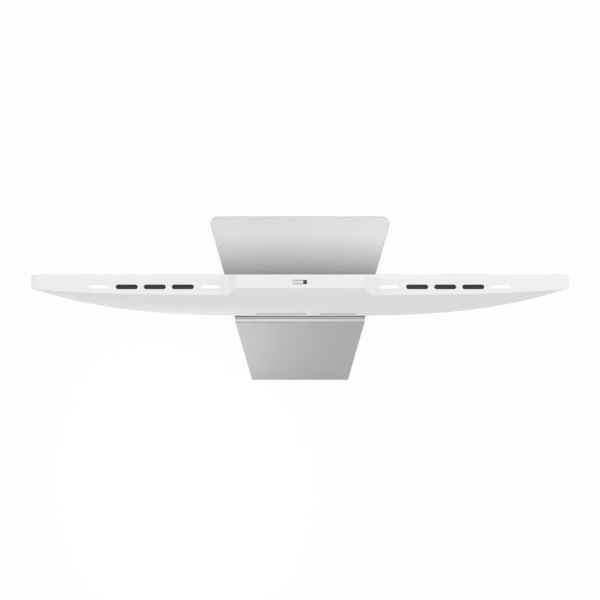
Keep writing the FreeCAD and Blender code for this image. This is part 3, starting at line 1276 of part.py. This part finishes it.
def hinge_pins():
    """Pins fixed in the stand's ears, with a head inside and a nut outside."""
    y, start = depth_y(HINGE_DEPTH), BASE_EAR_PLACE - PIN_HEAD
    end = OUTER_WASHER_PLACE + WASHER + NUT_THICKNESS + PIN_END
    pin = rod("x", y, HINGE_HEIGHT, HINGE_PIN_RADIUS, start, end)
    head = rod("x", y, HINGE_HEIGHT, HINGE_PIN_RADIUS + PIN_HEAD_STEP, start, BASE_EAR_PLACE)
    return both_sides(pin.fuse(head).removeSplitter())


def hinge_nuts():
    """Hexagon nuts on the outer ends of the pins."""
    y, start = depth_y(HINGE_DEPTH), OUTER_WASHER_PLACE + WASHER
    end = start + NUT_THICKNESS
    corners = []
    for i in range(6):
        turn = math.radians(60 * i)
        corners.append((y + NUT_RADIUS * math.cos(turn), HINGE_HEIGHT + NUT_RADIUS * math.sin(turn)))
    bore = rod("x", y, HINGE_HEIGHT, HINGE_PIN_RADIUS, start - OVERRUN, end + OVERRUN)
    return both_sides(prism("x", corners, start, end).cut(bore))


def friction_washers():
    """One washer on each side of each of the head's ears."""
    y = depth_y(HINGE_DEPTH)
    made = []
    for start in (BASE_EAR_OUTER, OUTER_WASHER_PLACE):
        end = start + WASHER
        disc = rod("x", y, HINGE_HEIGHT, WASHER_RADIUS, start, end)
        bore = rod("x", y, HINGE_HEIGHT, HINGE_PIN_RADIUS, start - OVERRUN, end + OVERRUN)
        made += both_sides(disc.cut(bore))
    return made


def hinge_base_screws():
    seat, length = TONGUE_TOP + BRACKET_SHEET, BRACKET_SHEET + SHEET
    return [screw("z", x, y, seat, length, 1) for x, y in base_screw_places()]


def hinge_head_screws():
    seat, length = depth_y(CHASSIS_BACK + BRACKET_SHEET), BRACKET_SHEET + CHASSIS_SHEET + SCREW_GRIP / 2
    return [screw("y", x, z, seat, length, 1) for x, z in hinge_screw_places()]


# ---------------------------------------------------------------- the whole part

def all_parts():
    """Every sub-part by name. A list is a group of separate solids."""
    parts = {
        "stand_plate": stand_plate(),
        "foot_pads": foot_pads(),
        "hinge_base_bracket": hinge_base_bracket(),
        "hinge_base_screws": hinge_base_screws(),
        "hinge_pins": hinge_pins(),
        "hinge_nuts": hinge_nuts(),
        "friction_washers": friction_washers(),
        "hinge_head_bracket": hinge_head_bracket(),
        "hinge_head_screws": hinge_head_screws(),
        "front_bezel": front_bezel(),
        "rear_cover": rear_cover(),
        "cover_screws": cover_screws(),
        "slot_inserts": slot_inserts(),
        "top_dust_nets": top_dust_nets(),
        "louvre_dust_net": louvre_dust_net(),
        "lcd_cell": lcd_cell(),
        "diffuser_sheet": guide_sheet(FILM_DEPTH, FILM),
        "prism_sheet": guide_sheet(FILM_DEPTH + FILM, FILM),
        "light_guide_plate": guide_sheet(GUIDE_DEPTH, GUIDE_THICKNESS),
        "reflector_sheet": guide_sheet(REFLECTOR_DEPTH, FILM),
        "mould_frame": mould_frame(),
        "led_bar": led_bar(),
        "panel_tray": panel_tray(),
        "source_board": source_board(),
        "flex_tails": flex_tails(),
        "main_chassis": main_chassis(),
        "main_board": main_board(),
        "processor_heat_sink": processor_heat_sink(),
        "led_driver_board": led_driver_board(),
        "panel_flex_cable": panel_flex_cable(),
        "board_screws": board_screws(),
        "tray_screws": tray_screws(),
        "speaker_left": speaker(-1),
        "speaker_right": speaker(1),
        "key_board": key_board(),
        "camera_module": camera_module(),
        "camera_window": camera_window(),
        "privacy_shutter": privacy_shutter(),
        "shutter_knob": shutter_knob(),
    }
    parts.update(ports())
    for name, x, length in key_places():
        parts[name] = key(x, length)
    return parts


def main():
    os.makedirs("parts", exist_ok=True)
    for name, made in all_parts().items():
        shape = Part.makeCompound(made) if isinstance(made, list) else made
        shape.exportStep(f"parts/{name}.step")


main()
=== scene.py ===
"""Looks of the computer monitor: materials for every sub-part, studio light, floor and camera."""

import json
import math

import bmesh
import bpy
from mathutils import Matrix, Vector


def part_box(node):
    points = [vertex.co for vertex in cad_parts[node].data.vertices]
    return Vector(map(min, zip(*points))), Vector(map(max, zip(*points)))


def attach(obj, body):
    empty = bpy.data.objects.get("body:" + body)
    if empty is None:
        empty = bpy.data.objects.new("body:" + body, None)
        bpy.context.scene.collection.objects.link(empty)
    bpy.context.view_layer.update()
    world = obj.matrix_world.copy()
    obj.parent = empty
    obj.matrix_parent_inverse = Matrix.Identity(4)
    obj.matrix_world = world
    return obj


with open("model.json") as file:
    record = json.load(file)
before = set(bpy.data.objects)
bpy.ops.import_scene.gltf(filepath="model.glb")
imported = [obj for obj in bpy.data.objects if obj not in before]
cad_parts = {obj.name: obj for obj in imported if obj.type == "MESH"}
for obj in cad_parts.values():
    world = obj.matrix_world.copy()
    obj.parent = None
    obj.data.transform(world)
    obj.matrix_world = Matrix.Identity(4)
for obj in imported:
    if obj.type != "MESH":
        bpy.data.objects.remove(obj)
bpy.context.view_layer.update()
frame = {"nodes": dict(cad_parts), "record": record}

MM = 0.001

# ---------------------------------------------------------------- camera, light and floor

CAMERA_HEIGHT = 3.801        # above the floor
CAMERA_Y = 0.0021
LENS_MM = 200.8

WORLD_LEVEL = 0.40
WORLD_TO_GLOSS = 0.45        # share of plain white in the world that gloss and glass see
FLOOR_COLOUR = (0.95, 0.95, 0.95, 1.0)
FLOOR_SIZE = 40.0
WHITE_TO_CAMERA = 0.93       # share of plain white in the floor; the rest takes shadows
WHITE_TO_GLOSS = 0.15        # the same, for rays that gloss and glass send
WHITE_LIGHT = (1.0, 1.0, 1.0, 1.0)

# name, place, aimed at, width, height, watts, whether gloss shows it
LAMPS = (
    ("top_strip", (-0.15, 0.095, 2.6), (-0.15, 0.0, 0.0), 1.6, 0.24, 9.9, True),
    ("left_softbox", (1.7, -0.7, 1.2), (0.0, 0.0, 0.3), 0.8, 0.8, 11.0, True),
    ("right_softbox", (-1.8, -0.2, 1.16), (0.0, 0.0, 0.3), 0.8, 0.8, 9.5, True),
    ("front_softbox", (-0.5, -2.0, 1.6), (0.0, 0.0, 0.25), 1.2, 1.2, 9.0, True),
    ("rear_softbox", (0.3, 2.0, 0.98), (0.0, 0.02, 0.2), 0.9, 1.9, 9.0, True),
    ("low_fill", (0.13, 0.21, 0.085), (0.13, 0.21, 0.0), 0.16, 0.2, 0.15, False),
)

# ---------------------------------------------------------------- places on the object, in metres

# Exhaust louvres of the cover, where painted shade darkens its plastic inside the slots
LOUVRE_TOP = 0.39212
LOUVRE_PITCH = 0.003
LOUVRE_HEIGHT = 0.00154
LOUVRE_ROWS = 4
LOUVRE_GROUPS = ((-0.0571, -0.0203), (-0.0062, 0.0450))

# Black printed border of the screen
BORDER_SIDE = 3.6 * MM
BORDER_TOP = 3.6 * MM
BORDER_FOOT = 6.0 * MM

# Camera window: its clear middle, and the faint ring round it
WINDOW_CLEAR = 1.45 * MM
RING_RADIUS = 2.0 * MM
RING_HALF_WIDTH = 0.12 * MM

# Dark rubber sleeve on the tongue of the stand, where it leaves the head: its dark band is painted
# shadow where the tongue enters the head
SLEEVE_HALF_WIDTH = 0.070
SLEEVE_LOW, SLEEVE_TOP = 0.198, 0.202
SLEEVE_START, SLEEVE_BEND, SLEEVE_END = 0.012, 0.0195, 0.0201
SLEEVE_STEPS = (0.33, 0.67, 1.0)   # places of its last rings, as shares of the way from bend to end
SLEEVE_WALL = 0.00025
SLEEVE_FIT = 0.01 * MM             # between the tongue and the inside of the sleeve
SLEEVE_BEVEL = 0.4 * MM
BEND_RADII = (0.004, 0.008)        # inside and outside of the upper bend

# ---------------------------------------------------------------- surface detail

NOISE_LOW, NOISE_HIGH = 0.3, 0.7   # most values of a noise texture lie between these
FINE_RELIEF = 0.0001               # heights of bumps, in metres
GRAIN_RELIEF = 0.0002
WAVE_RELIEF = 0.0005

# Base colours
SILVER = (0.434, 0.434, 0.434)
WHITE = (0.90, 0.90, 0.90)
PALE_GREY = (0.79, 0.79, 0.79)
BLACK = (0.03, 0.03, 0.03)


# ---------------------------------------------------------------- node helpers

class Graph:
    """A node tree, with short calls to add nodes and join them."""

    def __init__(self, tree):
        self.tree = tree

    def feed(self, socket, value):
        if isinstance(value, bpy.types.NodeSocket):
            self.tree.links.new(value, socket)
        else:
            socket.default_value = value

    def add(self, kind, settings=None, **inputs):
        """New node. Inputs are given by name, with _ for a space."""
        node = self.tree.nodes.new(kind)
        for key, value in (settings or {}).items():
            setattr(node, key, value)
        for key, value in inputs.items():
            self.feed(node.inputs[key.replace("_", " ")], value)
        return node

    def joined(self, kind, settings, *values):
        """New node whose first inputs take the values, in their order. Gives its first output."""
        node = self.add(kind, settings)
        for socket, value in zip(node.inputs, values):
            self.feed(socket, value)
        return node.outputs[0]

    def math(self, operation, first, second=0.0):
        return self.joined("ShaderNodeMath", {"operation": operation}, first, second)


class Material(Graph):
    """A material's node tree, with its textures placed in the object's own coordinates."""

    def __init__(self, name):
        self.material = bpy.data.materials.new(name)
        self.material.use_nodes = True
        super().__init__(self.material.node_tree)
        self.shader = self.tree.nodes["Principled BSDF"]
        self.place = self.add("ShaderNodeTexCoord").outputs["Object"]

    def finish(self, **inputs):
        """Sets the shader's own sockets and gives the material."""
        for key, value in inputs.items():
            self.feed(self.shader.inputs[key.replace("_", " ")], value)
        return self.material

    def stretched(self, scale):
        return self.joined("ShaderNodeVectorMath", {"operation": "MULTIPLY"}, self.place, scale)

    def noise(self, scale, detail=2.0, stretch=None):
        place = self.stretched(stretch) if stretch else self.place
        node = self.add("ShaderNodeTexNoise", Vector=place, Scale=scale, Detail=detail)
        return node.outputs["Fac"]

    def cells(self, scale, output):
        return self.add("ShaderNodeTexVoronoi", Vector=self.place, Scale=scale).outputs[output]

    def between(self, value, low, high, start=NOISE_LOW, end=NOISE_HIGH):
        """Maps a value that runs from start to end onto low to high."""
        node = self.add("ShaderNodeMapRange", Value=value, From_Min=start, From_Max=end,
                        To_Min=low, To_Max=high)
        return node.outputs["Result"]

    def mix(self, share, first, second):
        node = self.add("ShaderNodeMix", {"data_type": "RGBA"}, Factor=share)
        colours = [socket for socket in node.inputs if socket.type == "RGBA"]
        for socket, value in zip(colours, (first, second)):
            self.feed(socket, value)
        return next(socket for socket in node.outputs if socket.type == "RGBA")

    def axes(self):
        return self.add("ShaderNodeSeparateXYZ", Vector=self.place).outputs

    def bump(self, height, strength, distance):
        node = self.add("ShaderNodeBump", Height=height, Strength=strength, Distance=distance)
        return node.outputs["Normal"]


def colour(r, g, b):
    return (r, g, b, 1.0)


def shade(base, factor):
    return colour(*(value * factor for value in base))


# ---------------------------------------------------------------- materials

def louvre_painted_shade(m):
    """1 inside the exhaust louvres of the cover, and 0 elsewhere: the mask of the painted shade
    there.
    """
    axes = m.axes()
    drop = m.math("DIVIDE", m.math("SUBTRACT", LOUVRE_TOP, axes["Z"]), LOUVRE_PITCH)
    below_top = m.math("GREATER_THAN", drop, 0.0)
    in_rows = m.math("MULTIPLY", below_top, m.math("LESS_THAN", drop, LOUVRE_ROWS))
    in_slot = m.math("LESS_THAN", m.math("FRACT", drop), LOUVRE_HEIGHT / LOUVRE_PITCH)
    in_groups = 0.0
    for start, end in LOUVRE_GROUPS:
        past = m.math("GREATER_THAN", axes["X"], start)
        within = m.math("MULTIPLY", past, m.math("LESS_THAN", axes["X"], end))
        in_groups = m.math("ADD", in_groups, within)
    return m.math("MULTIPLY", m.math("MULTIPLY", in_rows, in_slot), in_groups)


def moulded_plastic(name, base, roughness, coat=0.0, dark=None):
    """Moulded plastic: a fine etched grain, with slow changes of gloss and tone.

    dark, where given, is a pair for painted shade: a function that says where shade is painted on the
    plastic, and the factor that darkens it there.
    """
    m = Material(name)
    fine = m.noise(1800.0, 3.0)
    slow = m.noise(9.0, 2.0)
    tone = m.mix(m.between(slow, 0.0, 1.0), shade(base, 0.985), shade(base, 1.0))
    # Painted shade: darkens the plastic's colour where the mask says.
    if dark:
        where, factor = dark
        tone = m.mix(where(m), tone, shade(base, factor))
    return m.finish(
        Base_Color=tone,
        Roughness=m.between(slow, roughness - 0.03, roughness + 0.03),
        Normal=m.bump(fine, 0.03, GRAIN_RELIEF),
        Coat_Weight=coat,
        Coat_Roughness=0.12,
    )


def satin_metal(name, base, roughness, grain=1400.0, relief=0.05):
    """Bead-blasted and anodised or painted metal, with a fine sparkle."""
    m = Material(name)
    fine = m.noise(grain, 4.0)
    slow = m.noise(6.0, 3.0)
    return m.finish(
        Base_Color=m.mix(m.between(fine, 0.0, 1.0), shade(base, 0.96), shade(base, 1.0)),
        Metallic=1.0,
        Roughness=m.between(slow, roughness - 0.02, roughness + 0.02),
        Normal=m.bump(fine, relief, FINE_RELIEF),
    )


def turned_metal(name, base, roughness):
    """Machined or drawn metal, with fine lines along x."""
    m = Material(name)
    lines = m.noise(160.0, 4.0, (0.6, 8.0, 8.0))
    return m.finish(
        Base_Color=m.mix(m.between(lines, 0.0, 1.0), shade(base, 0.9), shade(base, 1.0)),
        Metallic=1.0,
        Roughness=m.between(lines, roughness - 0.05, roughness + 0.08),
        Normal=m.bump(lines, 0.06, FINE_RELIEF),
    )


def galvanised_sheet(name, base, roughness):
    """Zinc-coated sheet with pale crystal patches."""
    m = Material(name)
    patches = m.add("ShaderNodeSeparateColor", Color=m.cells(170.0, "Color")).outputs["Red"]
    return m.finish(
        Base_Color=m.mix(patches, shade(base, 0.86), shade(base, 1.05)),
        Metallic=1.0,
        Roughness=m.between(patches, roughness - 0.08, roughness + 0.08, 0.0, 1.0),
        Normal=m.bump(m.noise(900.0), 0.04, FINE_RELIEF),
    )


def rubber(name, base):
    """Matt rubber with an uneven, slightly dusty tone."""
    m = Material(name)
    fine = m.noise(1500.0, 4.0)
    dust = m.between(m.noise(80.0, 3.0), 0.0, 1.0)
    return m.finish(
        Base_Color=m.mix(dust, shade(base, 0.8), shade(base, 1.1)),
        Roughness=m.between(fine, 0.75, 0.9),
        Normal=m.bump(fine, 0.25, GRAIN_RELIEF),
    )


def circuit_board(name, base):
    """Solder mask over copper tracks, with gold pads here and there."""
    m = Material(name)
    tracks = m.add("ShaderNodeTexBrick", {"offset": 0.37}, Vector=m.stretched((1.0, 1.0, 0.45)),
                   Scale=260.0, Color1=shade(base, 0.8), Color2=shade(base, 1.25),
                   Mortar=shade(base, 1.6), Mortar_Size=0.03)
    pads = m.math("LESS_THAN", m.cells(330.0, "Distance"), 0.12)
    return m.finish(
        Base_Color=m.mix(pads, tracks.outputs["Color"], colour(0.72, 0.55, 0.24)),
        Metallic=pads,
        Roughness=m.between(m.noise(500.0), 0.3, 0.42),
        Normal=m.bump(tracks.outputs["Fac"], 0.15, FINE_RELIEF),
    )


def film(name, base, roughness, gloss=0.0):
    """Thin plastic sheet with slight waves."""
    m = Material(name)
    waves = m.noise(30.0, 2.0)
    return m.finish(
        Base_Color=m.mix(m.between(waves, 0.0, 1.0), shade(base, 0.97), shade(base, 1.0)),
        Roughness=m.between(waves, roughness, roughness + 0.08),
        Normal=m.bump(waves, 0.03, WAVE_RELIEF),
        Coat_Weight=gloss,
    )


def light_guide(name, base):
    """Clear acrylic slab with printed dots all over it."""
    m = Material(name)
    dots = m.math("LESS_THAN", m.cells(500.0, "Distance"), 0.25)
    return m.finish(
        Base_Color=m.mix(dots, colour(*base), colour(0.95, 0.95, 0.95)),
        Roughness=m.between(dots, 0.08, 0.5, 0.0, 1.0),
        Transmission_Weight=m.between(dots, 0.7, 0.0, 0.0, 1.0),
        IOR=1.49,
    )


def net(name, base):
    """Fine woven net: dark meshes between crossed threads."""
    m = Material(name)
    mesh = m.add("ShaderNodeTexBrick", {"offset": 0.0}, Vector=m.place, Scale=900.0,
                 Color1=shade(base, 0.5), Color2=shade(base, 0.6), Mortar=shade(base, 1.3),
                 Mortar_Size=0.12)
    return m.finish(
        Base_Color=mesh.outputs["Color"],
        Roughness=m.between(m.noise(700.0), 0.7, 0.85),
        Normal=m.bump(mesh.outputs["Fac"], 0.2, FINE_RELIEF),
    )


def screen_glass(name):
    """Anti-glare front of the LCD: a black printed border round a dark grey field."""
    m = Material(name)
    low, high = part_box("lcd_cell")
    foot, top = low.z + BORDER_FOOT, high.z - BORDER_TOP
    middle = (foot + top) / 2
    half_x, half_z = high.x - BORDER_SIDE, (top - foot) / 2
    axes = m.axes()
    across = m.math("DIVIDE", m.math("ABSOLUTE", axes["X"]), half_x)
    up = m.math("DIVIDE", m.math("ABSOLUTE", m.math("SUBTRACT", axes["Z"], middle)), half_z)
    border = m.math("GREATER_THAN", m.math("MAXIMUM", across, up), 1.0)
    haze = m.noise(2600.0, 2.0)
    return m.finish(
        Base_Color=m.mix(border, colour(0.012, 0.013, 0.015), colour(0.006, 0.006, 0.007)),
        Roughness=m.between(haze, 0.26, 0.34),
        Specular_IOR_Level=0.4,
        Normal=m.bump(haze, 0.02, FINE_RELIEF),
    )


def camera_window(name):
    """Polished black window, clear over the lens, with a faint ring round it."""
    m = Material(name)
    low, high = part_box("camera_window")
    middle = (low.z + high.z) / 2
    axes = m.axes()
    rise = m.math("SUBTRACT", axes["Z"], middle)
    squares = (m.math("POWER", axes["X"], 2.0), m.math("POWER", rise, 2.0))
    reach = m.math("SQRT", m.math("ADD", *squares))
    clear = m.math("LESS_THAN", reach, WINDOW_CLEAR)
    off_ring = m.math("ABSOLUTE", m.math("SUBTRACT", reach, RING_RADIUS))
    ring = m.math("LESS_THAN", off_ring, RING_HALF_WIDTH)
    print_colour = m.mix(ring, colour(0.01, 0.01, 0.012), colour(0.2, 0.2, 0.21))
    return m.finish(
        Base_Color=m.mix(clear, print_colour, colour(1.0, 1.0, 1.0)),
        Roughness=m.between(m.noise(200.0), 0.04, 0.07),
        Transmission_Weight=clear,
        Coat_Weight=0.5,
    )


# record's material slot: the material that stands for it
MATERIALS = {
    "stand_sheet": satin_metal("stand_sheet", SILVER, 0.34),
    "pad_rubber": rubber("pad_rubber", (0.11, 0.11, 0.11)),
    "hinge_steel": satin_metal("hinge_steel", (0.45, 0.45, 0.46), 0.38),
    "pin_steel": turned_metal("pin_steel", (0.6, 0.6, 0.61), 0.25),
    "zinc_fastener": turned_metal("zinc_fastener", (0.58, 0.58, 0.56), 0.3),
    "cover_fastener": turned_metal("cover_fastener", (0.66, 0.66, 0.66), 0.25),
    "washer_brass": turned_metal("washer_brass", (0.72, 0.55, 0.26), 0.3),
    "bezel_plastic": moulded_plastic("bezel_plastic", WHITE, 0.36, coat=0.15),
    # Painted shade darkens the cover inside its exhaust louvres.
    "cover_plastic": moulded_plastic("cover_plastic", WHITE, 0.42, dark=(louvre_painted_shade, 0.5)),
    "insert_plastic": moulded_plastic("insert_plastic", (0.95, 0.95, 0.95), 0.25, coat=0.2),
    "shutter_plastic": moulded_plastic("shutter_plastic", BLACK, 0.45),
    "knob_plastic": moulded_plastic("knob_plastic", PALE_GREY, 0.38),
    "key_plastic": moulded_plastic("key_plastic", WHITE, 0.38),
    "screen_glass": screen_glass("screen_glass"),
    "optical_film": film("optical_film", (0.85, 0.86, 0.87), 0.3),
    "reflector_film": film("reflector_film", (0.93, 0.93, 0.93), 0.15, 0.3),
    "light_guide": light_guide("light_guide", (0.85, 0.88, 0.9)),
    "frame_plastic": moulded_plastic("frame_plastic", BLACK, 0.5),
    "led_aluminium": satin_metal("led_aluminium", (0.75, 0.75, 0.76), 0.35),
    "tray_steel": galvanised_sheet("tray_steel", (0.5, 0.51, 0.52), 0.4),
    "chassis_steel": galvanised_sheet("chassis_steel", (0.52, 0.53, 0.54), 0.38),
    "circuit_board": circuit_board("circuit_board", (0.015, 0.12, 0.05)),
    "polyimide_film": film("polyimide_film", (0.45, 0.2, 0.03), 0.25),
    "heat_sink_aluminium": satin_metal("heat_sink_aluminium", (0.07, 0.07, 0.08), 0.45, grain=900.0,
                                       relief=0.1),
    "speaker_plastic": moulded_plastic("speaker_plastic", (0.02, 0.02, 0.02), 0.55),
    "camera_black": moulded_plastic("camera_black", (0.015, 0.015, 0.015), 0.5),
    "camera_window_black": camera_window("camera_window_black"),
    "jack_plastic": moulded_plastic("jack_plastic", (0.015, 0.015, 0.015), 0.45),
    "port_shell": turned_metal("port_shell", (0.66, 0.66, 0.65), 0.28),
    "dust_net": net("dust_net", (0.027, 0.027, 0.027)),
    "louvre_net": net("louvre_net", (0.30, 0.30, 0.30)),
}


def dress_parts():
    """Gives every sub-part the material of its slot."""
    for entry in frame["record"]["subparts"]:
        for slot in frame["nodes"][entry["node"]].material_slots:
            slot.material = MATERIALS[entry["material_slot"]]


# ---------------------------------------------------------------- sleeve on the tongue: painted shadow where it enters the head

def sleeve_corners(y, wall):
    """Bevelled section of the sleeve at a depth. Its rear end follows the start of the upper bend."""
    run = max(y - SLEEVE_BEND, 0.0)
    drops = [radius - math.sqrt(radius ** 2 - run ** 2) for radius in BEND_RADII]
    low, top = SLEEVE_LOW - drops[0] - wall, SLEEVE_TOP - drops[1] + wall
    half = SLEEVE_HALF_WIDTH + wall
    inner = half - SLEEVE_BEVEL
    side = [(inner, low), (half, low + SLEEVE_BEVEL), (half, top - SLEEVE_BEVEL), (inner, top)]
    return [(x, y, z) for x, z in side + [(-x, z) for x, z in reversed(side)]]


def tongue_shadow_sleeve():
    """Thin dark rubber sleeve round the tongue of the stand, a band that paints the shadow where the
    tongue enters the head.
    """
    mesh = bmesh.new()
    bent = [SLEEVE_BEND + share * (SLEEVE_END - SLEEVE_BEND) for share in SLEEVE_STEPS]
    stations = [SLEEVE_START, SLEEVE_BEND] + bent
    sections = [sleeve_corners(y, SLEEVE_WALL) for y in stations]
    sections += [sleeve_corners(y, SLEEVE_FIT) for y in reversed(stations)]
    rings = [[mesh.verts.new(corner) for corner in section] for section in sections]
    for first, second in zip(rings, rings[1:] + rings[:1]):
        for j in range(len(first)):
            k = (j + 1) % len(first)
            mesh.faces.new((first[j], first[k], second[k], second[j]))
    bmesh.ops.recalc_face_normals(mesh, faces=mesh.faces)
    data = bpy.data.meshes.new("tongue_shadow_sleeve")
    mesh.to_mesh(data)
    mesh.free()
    # Dark rubber: the band that stands in for the shadow at the head's slot.
    data.materials.append(MATERIALS["pad_rubber"])
    sleeve = bpy.data.objects.new("tongue_shadow_sleeve", data)
    bpy.context.collection.objects.link(sleeve)
    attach(sleeve, "stand")


# ---------------------------------------------------------------- floor, light and camera

def white_over(graph, surface, white, camera_share, gloss_share):
    """Mixes plain white over a surface for the rays that the camera, gloss and glass send."""
    path = graph.add("ShaderNodeLightPath").outputs
    gloss = graph.math("MAXIMUM", path["Is Glossy Ray"], path["Is Transmission Ray"])
    seen = graph.math("MULTIPLY", path["Is Camera Ray"], camera_share)
    share = graph.math("MAXIMUM", graph.math("MULTIPLY", gloss, gloss_share), seen)
    return graph.joined("ShaderNodeMixShader", {}, share, surface, white)


def make_floor():
    bpy.ops.mesh.primitive_plane_add(size=FLOOR_SIZE)
    floor = bpy.context.object
    floor.name = "floor"
    material = bpy.data.materials.new("floor")
    material.use_nodes = True
    graph = Graph(material.node_tree)
    graph.tree.nodes.clear()
    matt = graph.add("ShaderNodeBsdfDiffuse", Color=FLOOR_COLOUR).outputs[0]
    white = graph.add("ShaderNodeEmission", Color=WHITE_LIGHT).outputs[0]
    surface = white_over(graph, matt, white, WHITE_TO_CAMERA, WHITE_TO_GLOSS)
    graph.add("ShaderNodeOutputMaterial", Surface=surface)
    floor.data.materials.append(material)


def light_world():
    world = bpy.data.worlds.new("studio")
    bpy.context.scene.world = world
    world.use_nodes = True
    graph = Graph(world.node_tree)
    graph.tree.nodes.clear()
    room = graph.add("ShaderNodeBackground", Color=WHITE_LIGHT, Strength=WORLD_LEVEL).outputs[0]
    white = graph.add("ShaderNodeBackground", Color=WHITE_LIGHT).outputs[0]
    surface = white_over(graph, room, white, 1.0, WORLD_TO_GLOSS)
    graph.add("ShaderNodeOutputWorld", Surface=surface)


def add_lamp(name, place, target, width, height, watts, in_gloss):
    data = bpy.data.lights.new(name, "AREA")
    data.shape = "RECTANGLE"
    data.size, data.size_y = width, height
    data.energy = watts
    lamp = bpy.data.objects.new(name, data)
    lamp.location = place
    aim = Vector(target) - Vector(place)
    lamp.rotation_euler = aim.to_track_quat("-Z", "Y").to_euler()
    lamp.visible_camera = False
    lamp.visible_glossy = in_gloss
    bpy.context.collection.objects.link(lamp)


def add_camera():
    """Looks straight down, with the front of the object towards the top of the picture."""
    data = bpy.data.cameras.new("camera")
    data.lens = LENS_MM
    camera = bpy.data.objects.new("camera", data)
    camera.location = (0.0, CAMERA_Y, CAMERA_HEIGHT)
    camera.rotation_euler = (0.0, 0.0, math.pi)
    bpy.context.collection.objects.link(camera)
    bpy.context.scene.camera = camera


dress_parts()
tongue_shadow_sleeve()
make_floor()
light_world()
for lamp in LAMPS:
    add_lamp(*lamp)
add_camera()
bpy.context.scene.view_settings.view_transform = "Standard"
